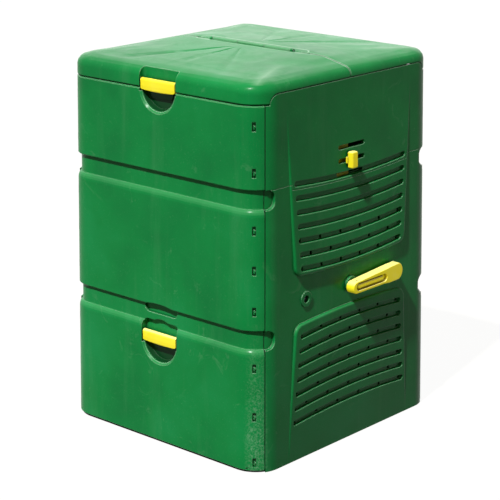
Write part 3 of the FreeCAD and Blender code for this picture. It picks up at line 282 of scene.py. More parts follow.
def wear_and_painted_sheen(tree, reach, colour, soft, plain, dust_and_sheen, painted_sheen, band):
    """Colour with painted sheen on the lid's lines, painted edge highlights with a little wear, and painted
    sheen on slopes.
    """
    # painted sheen on the lid's raised lines, read from the mesh attribute
    painted_lid_sheen = add(tree, "ShaderNodeAttribute", {"attribute_name": "painted_lid_sheen"}).outputs["Fac"]
    painted_lid_sheen = add(tree, "ShaderNodeMapRange", None, Value=painted_lid_sheen, To_Max=LID_SHEEN_SHARE)
    colour = add(tree, "ShaderNodeMix", {"data_type": "RGBA"}, i0=painted_lid_sheen, i6=colour, i7=linear(dust_and_sheen))

    match = add(tree, "ShaderNodeVectorMath", {"operation": "DOT_PRODUCT"}, i0=soft, i1=plain)
    edge = add(tree, "ShaderNodeMapRange", None, Value=match, From_Min=EDGE_MATCH[0],
               From_Max=EDGE_MATCH[1], To_Max=EDGE_HIGHLIGHT_AND_WEAR_SHARE)
    tilt = add(tree, "ShaderNodeSeparateXYZ", None, Vector=soft).outputs["Z"]
    skyward = add(tree, "ShaderNodeMapRange", None, Value=tilt, From_Min=SKYWARD[0],
                  From_Max=SKYWARD[1], To_Min=SIDEWAYS_RUB)
    # painted highlight on edges that look up; edges that don't keep only a little real wear
    pale_marks = add(tree, "ShaderNodeMath", {"operation": "MULTIPLY"}, i0=edge, i1=skyward)
    colour = add(tree, "ShaderNodeMix", {"data_type": "RGBA"}, i0=pale_marks, i6=colour, i7=linear(dust_and_sheen))

    # painted sheen: slopes that lean towards the sky are made paler, and much less so on the lid
    rise = add(tree, "ShaderNodeMapRange", None, Value=tilt, From_Min=band[0], From_Max=band[1],
               To_Max=painted_sheen)
    fall = add(tree, "ShaderNodeMapRange", None, Value=tilt, From_Min=band[2], From_Max=band[3],
               To_Min=1.0, To_Max=0.0)
    below_lid = add(tree, "ShaderNodeMapRange", None, Value=reach.outputs["Z"], From_Min=UNDER_LID[0],
                    From_Max=UNDER_LID[1], To_Min=1.0, To_Max=LID_PAINTED_SHEEN)
    slope = add(tree, "ShaderNodeMath", {"operation": "MULTIPLY"}, i0=rise, i1=fall)
    slope = add(tree, "ShaderNodeMath", {"operation": "MULTIPLY"}, i0=slope, i1=below_lid)
    return add(tree, "ShaderNodeMix", {"data_type": "RGBA"}, i0=slope, i6=colour, i7=linear(dust_and_sheen))


print("rubbed edges take", EDGE_HIGHLIGHT_AND_WEAR_SHARE, "of the dust colour")

# %% [markdown]
# ## Painted shade in joints, scoops and gaps
# A painted shade darkens the upright joints of the corners, the finger scoops and the places where
# two surfaces meet closely. A joint is found by its bearing round the corner's axis, a scoop by its
# place and by how far it lies behind the leaning wall, and the close gaps by ambient occlusion over a
# few millimetres.

# %% Painted shade in joints, scoops and gaps
JOINT_ANGLE = math.radians(60.6)  # bearing of the upright joint, from the front or back
JOINT_HALF = 0.016                # half width of its painted dark line, in radians
JOINT_TOP = 1.04
JOINT_SHADE_SHARE = 0.85
SCOOP_HALF = 64.0 * MM            # half width of a finger scoop
SCOOP_LIP = 5.0 * MM              # depths behind the wall where the painted shade begins and is full
SCOOP_DEEP = 9.0 * MM
SCOOP_HEIGHTS = (0.990, 0.256)    # the scoop under the lid and the one in the door
SCOOP_REACH = 42.0 * MM           # above and below those heights
GAP_OPENNESS = (0.80, 0.25)       # openness where the painted shade of a gap begins and is full
GAP_SHARE = 0.80


def painted_crevice_shade(tree, reach, colour, clear, shade_tint, scoop_shade, shade_reach):
    """Colour with painted shade in the upright joints, the finger scoops and close gaps, and how open each
    place is.
    """
    past = []
    for axis, half in (("X", FOOT_HALF_WIDTH), ("Y", FOOT_HALF_DEPTH)):
        upright = add(tree, "ShaderNodeMath", {"operation": "MULTIPLY_ADD"}, i0=reach.outputs["Z"],
                      i1=WALL_LEAN, i2=reach.outputs[axis])
        past.append(add(tree, "ShaderNodeMath", {"operation": "SUBTRACT"}, i0=upright,
                        i1=half - CORNER_RADIUS))
    bearing = add(tree, "ShaderNodeMath", {"operation": "ARCTAN2"}, i0=past[0], i1=past[1])
    # painted shade: a dark line along the gap of the upright joint
    joint_shade = add(tree, "ShaderNodeMath", {"operation": "COMPARE"}, i0=bearing, i1=JOINT_ANGLE, i2=JOINT_HALF)
    below = add(tree, "ShaderNodeMath", {"operation": "LESS_THAN"}, i0=reach.outputs["Z"], i1=JOINT_TOP)
    joint_shade = add(tree, "ShaderNodeMath", {"operation": "MULTIPLY"}, i0=joint_shade, i1=below)
    joint_shade = add(tree, "ShaderNodeMath", {"operation": "MULTIPLY"}, i0=joint_shade, i1=JOINT_SHADE_SHARE)
    colour = add(tree, "ShaderNodeMix", {"data_type": "RGBA"}, i0=joint_shade, i6=colour, i7=linear(shade_tint))

    # painted shade in close gaps, from ambient occlusion
    openness = add(tree, "ShaderNodeAmbientOcclusion", {"samples": 6}, Distance=shade_reach * MM)
    openness = openness.outputs["AO"]
    gap = add(tree, "ShaderNodeMapRange", None, Value=openness, From_Min=GAP_OPENNESS[0],
              From_Max=GAP_OPENNESS[1], To_Max=GAP_SHARE)
    gap = add(tree, "ShaderNodeMath", {"operation": "MULTIPLY"}, i0=gap, i1=clear)

    # painted shade inside the finger scoops
    scoop = add(tree, "ShaderNodeMapRange", None, Value=past[1], From_Min=CORNER_RADIUS - SCOOP_LIP,
                From_Max=CORNER_RADIUS - SCOOP_DEEP, To_Max=scoop_shade)
    middle = add(tree, "ShaderNodeMath", {"operation": "LESS_THAN"}, i0=reach.outputs["X"], i1=SCOOP_HALF)
    upper, lower = [
        add(tree, "ShaderNodeMath", {"operation": "COMPARE"}, i0=reach.outputs["Z"], i1=height,
            i2=SCOOP_REACH)
        for height in SCOOP_HEIGHTS]
    either = add(tree, "ShaderNodeMath", {"operation": "MAXIMUM"}, i0=upper, i1=lower)
    scoop = add(tree, "ShaderNodeMath", {"operation": "MULTIPLY"}, i0=scoop, i1=middle)
    scoop = add(tree, "ShaderNodeMath", {"operation": "MULTIPLY"}, i0=scoop, i1=either)
    shade_share = add(tree, "ShaderNodeMath", {"operation": "MAXIMUM"}, i0=gap, i1=scoop)
    colour = add(tree, "ShaderNodeMix", {"data_type": "RGBA"}, i0=shade_share, i6=colour, i7=linear(shade_tint))
    return colour, openness


print("scoop grime at heights", SCOOP_HEIGHTS)

# %% [markdown]
# ## The plastic as a whole
# Polypropylene reflects little when it is looked at squarely, so its specular level is low, and a
# thin coat gives the lid its sheen at a grazing angle. The smudges make the gloss uneven. A wide,
# shallow bump stands for the slight waves of a thin wall and a fine one for the grain of its skin,
# drawn at two millimetres, the finest that still shows. The yellow pieces get a painted glow. It is a
# weak emission of their own colour, strong where they stand free and weak in their hollows.

# %% Moulded plastic
WAVE_SIZE = 150                # in millimetres, as the grain's
WAVE_DEPTH = 1.4 * MM
GRAIN_SIZE = 2
GRAIN_DEPTH = 0.10 * MM
PAINTED_GLOW_FROM = 0.45               # openness where the glow begins
NO_FALL = (1.5, 2.0)           # tilts that no surface reaches, so the painted sheen never fades


def moulded_plastic(name, dark, base, pale, dust_and_sheen, shade_tint, roughness, haze, edge_radius, painted_glow=0.0, splash=0.0,
                    darker_foot=0.0, painted_sheen=0.0, painted_sheen_band=(0.35, 0.80, *NO_FALL), scoop_shade=0.0,
                    shade_reach=16):
    """Weathered plastic with painted sheen, shade and glow. Edge radius and shade reach are in millimetres.

    The painted sheen band gives the tilts where the painted sheen begins, is full, fades again and ends.
    """
    material, tree, place = blank_material(name)
    reach = add(tree, "ShaderNodeVectorMath", {"operation": "ABSOLUTE"}, i0=place)
    reach = add(tree, "ShaderNodeSeparateXYZ", None, Vector=reach)
    colour, smudges = weathered_colour(tree, place, dark, base, pale, dust_and_sheen, haze)
    colour = soiled_foot(tree, place, reach, colour, dust_and_sheen, shade_tint, splash, darker_foot)
    soft, plain, clear = soft_normal(tree, reach, edge_radius)
    colour = wear_and_painted_sheen(tree, reach, colour, soft, plain, dust_and_sheen, painted_sheen, painted_sheen_band)
    colour, openness = painted_crevice_shade(tree, reach, colour, clear, shade_tint, scoop_shade, shade_reach)

    gloss = add(tree, "ShaderNodeMapRange", None, Value=smudges, From_Min=0.35, From_Max=0.75,
                To_Min=roughness - 0.03, To_Max=roughness + 0.10)
    waves = add(tree, "ShaderNodeTexNoise", None, Vector=place, Scale=per_mm(WAVE_SIZE), Detail=1.0)
    wavy = add(tree, "ShaderNodeBump", None, Strength=0.4, Distance=WAVE_DEPTH, Height=waves, Normal=soft)
    grain = add(tree, "ShaderNodeTexNoise", None, Vector=place, Scale=per_mm(GRAIN_SIZE), Detail=2.0)
    skin = add(tree, "ShaderNodeBump", None, Strength=0.2, Distance=GRAIN_DEPTH, Height=grain, Normal=wavy)
    free = 0.0
    # painted glow: an emission of the surface colour that fades where ambient occlusion finds a hollow
    if painted_glow:
        free = add(tree, "ShaderNodeMapRange", None, Value=openness, From_Min=PAINTED_GLOW_FROM, To_Max=painted_glow)
    shader = add(tree, "ShaderNodeBsdfPrincipled", None, Base_Color=colour, Roughness=gloss, IOR=1.49,
                 Specular_IOR_Level=0.05, Coat_Weight=0.10, Coat_Roughness=0.22, Emission_Color=colour,
                 Emission_Strength=free, Normal=skin)
    add(tree, "ShaderNodeOutputMaterial", None, Surface=shader)
    return material


# %% [markdown]
# ## Four finishes of one plastic
# The walls, doors and lid are a deep green with a little painted sheen on its slopes. The slats
# inside are the same plastic made duller and browner by compost. The pieces for the hand are a
# bright yellow with a painted glow and a painted sheen on their tops, and the air plates behind the
# slots are that yellow, soiled.

# %% The four plastics
# painted sheen on slopes, and painted shade in joints, gaps and scoops
green_polypropylene = moulded_plastic(
    "green_polypropylene", dark="087A3A", base="0B863F", pale="168F4B", dust_and_sheen="A9D0B0", shade_tint="0B2A14",
    roughness=0.32, haze=0.05, edge_radius=3.2, splash=0.36, darker_foot=0.30, painted_sheen=0.07,
    painted_sheen_band=(0.12, 0.50, 0.80, 0.96), scoop_shade=0.88)
dark_polypropylene = moulded_plastic(
    "inner_green_polypropylene", dark="0A4A22", base="0E5C2B", pale="156836", dust_and_sheen="7C7358",
    shade_tint="0B1A0E", roughness=0.46, haze=0.25, edge_radius=1.0)
# painted glow, and a painted sheen on the tops
yellow_polypropylene = moulded_plastic(
    "yellow_polypropylene", dark="DCCB18", base="E4D522", pale="F0E03C", dust_and_sheen="FFF6B8", shade_tint="8A7410",
    roughness=0.32, haze=0.04, edge_radius=1.4, painted_glow=0.38, painted_sheen=0.45, shade_reach=9)
soiled_yellow = moulded_plastic(
    "soiled_yellow_polypropylene", dark="B3A82E", base="D6CA3C", pale="E6DC50", dust_and_sheen="8A7B42",
    shade_tint="4A4012", roughness=0.45, haze=0.15, edge_radius=1.0)
print("plastics", [material.name for material in bpy.data.materials])

# %% [markdown]
# ## Plated and blackened steel, and black bushes
# The shafts, cranks, pins and screws are zinc-plated steel that lives in damp compost, so its grey is
# cloudy and partly dull, with a breath of brown. The set screw in the lever is blackened steel. The
# bushes are black acetal, a slippery plastic that is a little glossy where the shaft has polished it.

# %% Steel and bushes
STAIN_SIZE = 22                # in millimetres, as the next one
SPECK_SIZE = 5


def weathered_steel(name, dark, pale, rust):
    """Dull steel with rust clouds, which are no metal any more."""
    material, tree, place = blank_material(name)
    clouds = add(tree, "ShaderNodeTexNoise", None, Vector=place, Scale=per_mm(STAIN_SIZE),
                 Detail=6.0, Roughness=0.65)
    colour = add(tree, "ShaderNodeValToRGB", {"stops": ((0.30, dark), (0.62, pale), (0.80, rust))},
                 Fac=clouds)
    metal = add(tree, "ShaderNodeMapRange", None, Value=clouds, From_Min=0.62, From_Max=0.80,
                To_Min=1.0, To_Max=0.2)
    rough = add(tree, "ShaderNodeMapRange", None, Value=clouds, From_Min=0.3, From_Max=0.8,
                To_Min=0.32, To_Max=0.7)
    shader = add(tree, "ShaderNodeBsdfPrincipled", None, Base_Color=colour, Metallic=metal,
                 Roughness=rough)
    add(tree, "ShaderNodeOutputMaterial", None, Surface=shader)
    return material


def black_acetal():
    """Slippery black bearing plastic."""
    material, tree, place = blank_material("black_acetal")
    specks = add(tree, "ShaderNodeTexNoise", None, Vector=place, Scale=per_mm(SPECK_SIZE), Detail=4.0)
    colour = add(tree, "ShaderNodeValToRGB", {"stops": ((0.35, "141514"), (0.75, "2B2D2A"))}, Fac=specks)
    shader = add(tree, "ShaderNodeBsdfPrincipled", None, Base_Color=colour, Roughness=0.38, IOR=1.48)
    add(tree, "ShaderNodeOutputMaterial", None, Surface=shader)
    return material


zinc_steel = weathered_steel("zinc_plated_steel", dark="8E9296", pale="B9BCBE", rust="8A6A4C")
black_steel = weathered_steel("blackened_steel", dark="1E1D1A", pale="35332C", rust="4A3624")
bush_acetal = black_acetal()
print("metals and bushes", zinc_steel.name, black_steel.name, bush_acetal.name)

# %% [markdown]
# ## Finishes onto the CAD pieces
# A CAD node keeps its mesh. It only gets a material in its first slot. The yellow pieces are the
# ones a hand touches: latches, lever and air slides. The slats and ledges of the floor meet compost
# and take the darker green, while the lid bridge and the base frame are moulded like the walls.
# Every pin and shaft is steel.

# %% Dress the CAD nodes
YELLOW_WORDS = ("latch", "lever", "air_knob")
STEEL_WORDS = ("pin", "shaft", "crank", "tie_bar", "screws", "rod")
INNER_WORDS = ("slat", "ledge")


def finish_for(name):
    """Material of a CAD node, from the words in its name."""
    if "bushes" in name:
        return bush_acetal
    if "air_plate" in name:
        return soiled_yellow
    if any(word in name for word in STEEL_WORDS):
        return zinc_steel
    if any(word in name for word in YELLOW_WORDS):
        return yellow_polypropylene
    if any(word in name for word in INNER_WORDS):
        return dark_polypropylene
    return green_polypropylene


for name, piece in nodes.items():
    piece.data.materials.clear()
    piece.data.materials.append(finish_for(name))
print("dressed", len(nodes), "nodes")

# %% [markdown]
# ## The fan pressed into the lid
# Each lid wing is stiffened by a shallow fan of creases that run from the hinge to the rim. A thin
# flat sheet would drum and sag, while a folded one is stiff. The fan is shallow, but it catches the
# light, so it has to be real slopes. A formula gives its depth at every place in plan: the sheet
# falls evenly from the middle line to the slanting creases, comes back behind them, and each crease
# has a narrow sharp groove.

# %% Depth of the fan
FAN_DEPTH = 3.4 * MM
FAN_ANGLE = 32.0               # slanting creases, in degrees from the wing's middle line
FAN_FADE_ANGLE = 66.0          # the sheet is back at its plain height here
FAN_APEX = 36.0 * MM           # the creases meet this far from the hinge axis
FAN_START = 20.0 * MM          # folds and grooves begin at this distance from there
FAN_FULL = 220.0 * MM          # and the folds are full at this one
GROOVE_DROP = 2.6 * MM
GROOVE_ANGLE = 5.0             # half width of a crease's sharp groove, in degrees
GROOVE_FULL = 70.0 * MM


def ease(value, low, high):
    """Smooth step from 0 at low to 1 at high."""
    share = min(max((value - low) / (high - low), 0.0), 1.0)
    return share * share * (3.0 - 2.0 * share)


def fan_drop(x, y):
    """Depth of the fan's folds and sharp creases at a place in plan."""
    out = abs(y) - FAN_APEX
    angle = math.degrees(math.atan2(abs(x), out)) if out > 0 else 90.0
    reach = math.hypot(x, max(out, 0.0))
    if angle < FAN_ANGLE:
        fold = angle / FAN_ANGLE
    else:
        fold = max(1.0 - (angle - FAN_ANGLE) / (FAN_FADE_ANGLE - FAN_ANGLE), 0.0)
    groove = max(1.0 - min(angle, abs(angle - FAN_ANGLE)) / GROOVE_ANGLE, 0.0)
    drop = FAN_DEPTH * fold * ease(reach, FAN_START, FAN_FULL)
    return drop + GROOVE_DROP * groove * ease(reach, FAN_START, GROOVE_FULL)


print("fan depth on a slanting crease", round(fan_drop(0.195, 0.350) / MM, 1), "mm")

# %% [markdown]
# ## Folds towards the lid's corners
# From each end of the pad along the hinge a soft fold runs out to the lid's corner and keeps the
# corner from flapping. Its height is full on one line in plan and falls off evenly beside it, so a
# distance to that line and a distance along it are all that the formula needs.

# %% Corner folds
CORNER_FOLD = 2.2 * MM
FOLD_START = Vector((0.205, 0.050))
FOLD_END = Vector((0.352, 0.385))
FOLD_HALF = 34.0 * MM
FOLD_GROWTH = (60.0 * MM, 240.0 * MM)  # distances along the fold where it begins and is full


def corner_fold(x, y):
    """1 on the fold that runs from the pad's end to the lid's corner, 0 beside it."""
    along = (FOLD_END - FOLD_START).normalized()
    offset = Vector((abs(x), abs(y))) - FOLD_START
    across = abs(offset.x * along.y - offset.y * along.x)
    travel = offset.dot(along)
    return max(1.0 - across / FOLD_HALF, 0.0) * ease(travel, *FOLD_GROWTH)


print("corner fold", round((FOLD_END - FOLD_START).length / MM), "mm long")

# %% [markdown]
# ## The pad along the hinge
# The sheet swells towards a long flat pad on both sides of the hinge barrel, with a small shoulder
# round it. Both wings can stand open side by side, so the sheet near the hinge stays under a plane
# that rises slowly from the axis, or one wing would press on the other.

# %% Rise to the pad
HINGE_HEIGHT = 1.116
PAD_TOP = 1.1186
PAD_STEP = 0.9 * MM            # height of the shoulder, and its width below
PAD_SLOPE = 3.0 * MM
PAD_HALF_WIDTH = 28.0 * MM
PAD_HALF_LENGTH = 206.0 * MM
PAD_SWELL = 150.0 * MM         # the sheet rises towards the pad over this distance
OPEN_LEAN = 0.080              # slope of the plane that keeps two open wings apart
OPEN_MARGIN = 0.6 * MM


def past_pad(x, y):
    """Distance outside the pad's round-ended border, negative on the pad."""
    past_x = max(abs(x) - (PAD_HALF_LENGTH - PAD_HALF_WIDTH), 0.0)
    return math.hypot(past_x, y) - PAD_HALF_WIDTH


def pad_rise(x, y, height):
    """How far the sheet is lifted to the pad, where the crown has this height."""
    away = past_pad(x, y)
    swell = (PAD_TOP - PAD_STEP - height) * (1.0 - ease(away, 0.0, PAD_SWELL))
    return swell + PAD_STEP * (1.0 - ease(away, 0.0, PAD_SLOPE))


def room_above(y, height):
    """How far the sheet may rise at this height and distance from the hinge axis."""
    return max(HINGE_HEIGHT + OPEN_LEAN * abs(y) - OPEN_MARGIN - height, 0.0)


print("pad", round(2 * PAD_HALF_LENGTH / MM), "by", round(2 * PAD_HALF_WIDTH / MM), "mm")

# %% [markdown]
# ## A painted sheen on the lid
# A painted sheen makes the lid paler along its raised lines: the barrel, the pad's border, the seam
# and the corner folds. The same formulas know these places, so the share of painted sheen is worked
# out point by point and kept with the mesh as an attribute, which the green plastic reads.

# %% Painted sheen on the raised lines
CROWN_FOOT = 1.0925            # the shoulder below this height stays as it is
BARREL_RADIUS = 5.8 * MM
BARREL_HALF = 212.0 * MM
SEAM_HALF = 4.0 * MM
BORDER_SLACK = 0.1 * MM        # so the border's inner cut line gets the painted sheen, and its outer one doesn't
BARREL_SHEEN = 0.35
BORDER_SHEEN = 0.85
FOLD_SHEEN = 0.45


def in_barrel(x, y, z):
    """Whether a point belongs to the hinge barrel."""
    return math.hypot(y, z - HINGE_HEIGHT) < BARREL_RADIUS and abs(x) < BARREL_HALF


def painted_sheen_at(x, y, z):
    """How much painted sheen the sheet gets: on the barrel, the pad's border, the seam and the corner
    folds.
    """
    if z < CROWN_FOOT:
        return 0.0
    if in_barrel(x, y, z):
        return BARREL_SHEEN
    on_border = -BORDER_SLACK < past_pad(x, y) < PAD_SLOPE - BORDER_SLACK
    if on_border or (abs(y) < SEAM_HALF and abs(x) > PAD_HALF_LENGTH):
        return BORDER_SHEEN
    return FOLD_SHEEN * corner_fold(x, y) ** 2


print("scuff on the seam", painted_sheen_at(0.300, 0.0, PAD_TOP))

# %% [markdown]
# ## Cutting the wing's own mesh
# The crown of a CAD wing is a few large faces, and a formula can only move points. So the crown is
# first cut along a coarse grid, the pad's border, the creases and the corner folds. Each cut is an
# upright plane, given by a point and a normal in plan. Sharp lines then lie exactly on edges, which
# a plain subdivision would not give.

# %% Planes that cut the crown
CROWN_GRID = 30.0 * MM
GRID_LINES = 12
CHANNEL_HALF = 6.4 * MM        # the barrel turns in a channel of this half width
PAD_END_CUTS = (-6, -3, 0, 3, 6, 10, 16, 23)    # inwards from the pad's ends, in millimetres
PAD_SIDE_CUTS = (15 * MM, 21 * MM, 25 * MM, PAD_HALF_WIDTH, PAD_HALF_WIDTH + 1.5 * MM,
                 PAD_HALF_WIDTH + PAD_SLOPE, 45 * MM)


def crown_cuts(way):
    """Planes that cut a wing's crown, as a point and a normal in plan."""
    across = [index * CROWN_GRID for index in range(-GRID_LINES, GRID_LINES + 1)]
    for side in (-1, 1):
        across += [side * (PAD_HALF_LENGTH - inwards * MM) for inwards in PAD_END_CUTS]
    along = [index * CROWN_GRID for index in range(1, GRID_LINES + 1)]
    along += [CHANNEL_HALF, *PAD_SIDE_CUTS]
    cuts = [((x, 0.0), (1.0, 0.0)) for x in across]
    cuts += [((0.0, way * y), (0.0, 1.0)) for y in along]
    for crease in (-FAN_ANGLE, 0.0, FAN_ANGLE):
        for turn in (-GROOVE_ANGLE, 0.0, GROOVE_ANGLE):
            angle = math.radians(crease + turn)
            cuts.append(((0.0, way * FAN_APEX), (math.cos(angle), -way * math.sin(angle))))
    line = (FOLD_END - FOLD_START).normalized()
    for side in (-1, 1):
        for shift in (-FOLD_HALF, 0.0, FOLD_HALF):
            cuts.append(((side * (FOLD_START.x + shift * line.y), way * (FOLD_START.y - shift * line.x)),
                         (side * line.y, -way * line.x)))
    return cuts


print("cuts in a crown", len(crown_cuts(1.0)))

# %% [markdown]
# ## The two wings
# Each wing is a copy of the CAD wing, so its rim, pocket and knuckles stay exactly as they are. The
# cut points of the crown are moved by the formulas, which fade out towards the rim. The height of
# the plain crown is read by a ray from above, because a point on the underside has to move by as
# much as the one over it, or the sheet's thickness would change.

# %% Press the wings
LEDGE = 14.0 * MM              # the crown's height is read no nearer to the axis
RIM_FADE = (30.0 * MM, 95.0 * MM)    # distances from the rim where fan and pad begin and are full
FOLD_FADE = (8.0 * MM, 30.0 * MM)    # the same for the corner folds
RAY_START = PAD_TOP + 1.0
STEEPEST = 0.5                 # a face of the crown has at least this upright normal
SHARP_EDGE = math.radians(28)
MERGE_DISTANCE = 0.01 * MM
CUT_TOLERANCE = 0.001 * MM


def cut_crown(bm, way):
    """Cuts the faces of the crown along all its planes."""
    for place, normal in crown_cuts(way):
        crown = [face for face in bm.faces
                 if face.calc_center_median().z > CROWN_FOOT and abs(face.normal.z) > STEEPEST]
        parts = set(crown)
        for face in crown:
            parts.update(face.edges)
            parts.update(face.verts)
        bmesh.ops.bisect_plane(bm, geom=list(parts), plane_co=(*place, 0.0), plane_no=(*normal, 0.0),
                               dist=CUT_TOLERANCE)


def fan_wing(node, name):
    """Copy of a lid wing with the fan and the pad pressed into its crown."""
    low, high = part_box(node)
    half_x = high[0]
    half_y = max(abs(low[1]), abs(high[1]))
    way = 1.0 if high[1] > half_y - MM else -1.0
    bm = bmesh.new()
    bm.from_mesh(nodes[node].data)
    bmesh.ops.remove_doubles(bm, verts=bm.verts, dist=MERGE_DISTANCE)
    plain = BVHTree.FromBMesh(bm)
    cut_crown(bm, way)
    for vert in bm.verts:
        x, y, z = vert.co
        crown_point = plain.ray_cast((x, way * max(abs(y), LEDGE), RAY_START), (0.0, 0.0, -1.0))[0]
        if z < CROWN_FOOT or in_barrel(x, y, z) or crown_point is None:
            continue
        inset = min(half_x - abs(x), half_y - abs(y))
        rise = (pad_rise(x, y, crown_point.z) - fan_drop(x, y)) * ease(inset, *RIM_FADE)
        rise += CORNER_FOLD * corner_fold(x, y) * ease(inset, *FOLD_FADE)
        vert.co.z += min(rise, room_above(y, crown_point.z))
    bmesh.ops.triangulate(bm, faces=bm.faces)
    mesh = bpy.data.meshes.new(name)
    bm.to_mesh(mesh)
    bm.free()
    mesh.attributes.remove(mesh.attributes["custom_normal"])
    # share of painted sheen at each point, kept as an attribute
    pale_marks = [painted_sheen_at(*vert.co) for vert in mesh.vertices]
    mesh.attributes.new("painted_lid_sheen", "FLOAT", "POINT").data.foreach_set("value", pale_marks)
    mesh.materials.append(green_polypropylene)
    mesh.shade_smooth()
    mesh.set_sharp_from_angle(angle=SHARP_EDGE)
    print(name, len(mesh.polygons), "faces, top", round(max(vert.co.z for vert in mesh.vertices), 4))
    return put(name, mesh)


for node, body in (("lid_front_wing", "lid_front"), ("lid_rear_wing", "lid_rear")):
    wing = fan_wing(node, node.replace("lid_", "") + "_skin")
    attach(wing, body)
    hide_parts(node)

# %% [markdown]
# ## The lever's straight back
# Seen from the side the real lever runs straight from its tail to the grip along the upper edge.
# The CAD lever has a slight hollow there. A copy of its mesh with the hollow's points raised shows
# the true line and keeps every other surface.

# %% Lever with a straight upper edge
SHAFT_HEIGHT = 0.470
BACK_START = (-9.5 * MM, 13.0 * MM)       # along the lever and above the shaft's axis
BACK_END = (150.0 * MM, 24.0 * MM)
HOLLOW_AT = (106.0 * MM, 14.0 * MM)
BACK_FOOT = 9.6 * MM                      # only points higher than this over the axis are raised


def line_height(start, end, y):
    """Height at y on the straight line from start to end."""
    return start[1] + (end[1] - start[1]) * (y - start[0]) / (end[0] - start[0])


def back_rise(y):
    """How far the upper edge is raised at this distance from the shaft."""
    if not BACK_START[0] < y < BACK_END[0]:
        return 0.0
    near, far = (BACK_START, HOLLOW_AT) if y < HOLLOW_AT[0] else (HOLLOW_AT, BACK_END)
    return line_height(BACK_START, BACK_END, y) - line_height(near, far, y)


lever_mesh = nodes["lever"].data.copy()
lever_mesh.name = "lever_skin"
for vert in lever_mesh.vertices:
    if vert.co.z - SHAFT_HEIGHT > BACK_FOOT:
        vert.co.z += back_rise(vert.co.y)
lever_skin = put("lever_skin", lever_mesh)
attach(lever_skin, "slat_centre")
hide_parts("lever")
print("lever raised by", round(back_rise(HOLLOW_AT[0]) / MM, 1), "mm")

# %% [markdown]
# ## The lever's set screw
# A short set screw in the boss holds the lever on its shaft, and from outside only its round end
# shows on the upper edge. It is a plain cylinder that stands a little out of the plastic.

# %% Screw in the lever's boss
SCREW_PLACE = (402.5 * MM, 0.0, SHAFT_HEIGHT + 12.0 * MM)
SCREW_RADIUS = 2.2 * MM
SCREW_LENGTH = 4.2 * MM
SCREW_SIDES = 20

bm = bmesh.new()
bmesh.ops.create_cone(bm, cap_ends=True, segments=SCREW_SIDES, radius1=SCREW_RADIUS, radius2=SCREW_RADIUS,
                      depth=SCREW_LENGTH, matrix=Matrix.Translation(SCREW_PLACE))
screw_mesh = bpy.data.meshes.new("lever_screw")
bm.to_mesh(screw_mesh)
bm.free()
screw_mesh.materials.append(black_steel)
screw = put("lever_screw", screw_mesh)
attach(screw, "slat_centre")
print("lever screw top", round(max(vert.co.z for vert in screw_mesh.vertices), 4))

# %% [markdown]
# ## Noses in the clip slots
# At every corner the panels are held by clips. Through each upright slot one sees a small nose that
# has snapped behind the slot's edge. Thirty-two equal noses are one job for Geometry Nodes: a
# cloud of points carries a turn for each nose, and one tapered block is instanced on it. The doors'
# noses move with the doors, so each moving body gets a mesh of its own.

# %% Places of the clip noses
CLIP_ANGLE = math.radians(39.0)
SHELL_CLIPS = (0.983, 0.857, 0.698, 0.586, 0.470)
DOOR_CLIPS = (0.307, 0.165, 0.030)


def clip_points(name, heights, ways):
    """Point cloud at the clip slots, with the turn of each slot."""
    places, turns = [], []
    for z in heights:
        centre_x = FOOT_HALF_WIDTH - WALL_LEAN * z - CORNER_RADIUS
        centre_y = FOOT_HALF_DEPTH - WALL_LEAN * z - CORNER_RADIUS
        reach_x = centre_x + CORNER_RADIUS * math.sin(CLIP_ANGLE)
        reach_y = centre_y + CORNER_RADIUS * math.cos(CLIP_ANGLE)
        for side_x in (-1, 1):
            for side_y in ways:
                places.append((side_x * reach_x, side_y * reach_y, z))
                turn = -side_x * side_y * CLIP_ANGLE
                turns.append(turn if side_y < 0 else turn + math.pi)
    mesh = bpy.data.meshes.new(name)
    mesh.from_pydata(places, [], [])
    mesh.attributes.new("turn", "FLOAT", "POINT").data.foreach_set("value", turns)
    return put(name, mesh)


print("noses on the shell", len(SHELL_CLIPS) * 4, "and on each door", len(DOOR_CLIPS) * 2)

# %% [markdown]
# ## The tree that makes a nose
# A cone with four sides is a tapered block once it is turned by 45 degrees. It is stretched to its
# height, laid down so that its tip looks out of the wall, and moved behind the slot's edge. Its
# sizes are inputs of the tree, so they could be changed on the modifier without touching a node.

# %% Clip noses with Geometry Nodes
NOSE_SIZES = {"Foot Radius": 3.4 * MM, "Tip Radius": 1.9 * MM, "Depth": 3.2 * MM, "Height Stretch": 1.6}
NOSE_SHIFT = (2.7 * MM, 5.0 * MM, -1.0 * MM)    # along the wall, inwards and up

nose_tree = bpy.data.node_groups.new("clip_nose_array", "GeometryNodeTree")
nose_tree.interface.new_socket("Geometry", in_out="INPUT", socket_type="NodeSocketGeometry")
nose_values = {}
for label, size in NOSE_SIZES.items():
    size_socket = nose_tree.interface.new_socket(label, in_out="INPUT", socket_type="NodeSocketFloat")
    nose_values[size_socket.identifier] = size
nose_tree.interface.new_socket("Geometry", in_out="OUTPUT", socket_type="NodeSocketGeometry")
entry = add(nose_tree, "NodeGroupInput")
block = add(nose_tree, "GeometryNodeMeshCone", None, Vertices=4, Radius_Top=entry.outputs["Tip Radius"],
            Radius_Bottom=entry.outputs["Foot Radius"], Depth=entry.outputs["Depth"])
stretch = add(nose_tree, "ShaderNodeCombineXYZ", None, X=1.0, Y=entry.outputs["Height Stretch"], Z=1.0)
squared = add(nose_tree, "GeometryNodeTransform", None, Geometry=block,
              Rotation=(0.0, 0.0, math.radians(45)))
tall = add(nose_tree, "GeometryNodeTransform", None, Geometry=squared, Scale=stretch)
laid = add(nose_tree, "GeometryNodeTransform", None, Geometry=tall, Rotation=(math.radians(90), 0.0, 0.0),
           Translation=NOSE_SHIFT)
turn = add(nose_tree, "GeometryNodeInputNamedAttribute", {"data_type": "FLOAT"}, Name="turn")
spin = add(nose_tree, "ShaderNodeCombineXYZ", None, Z=turn)
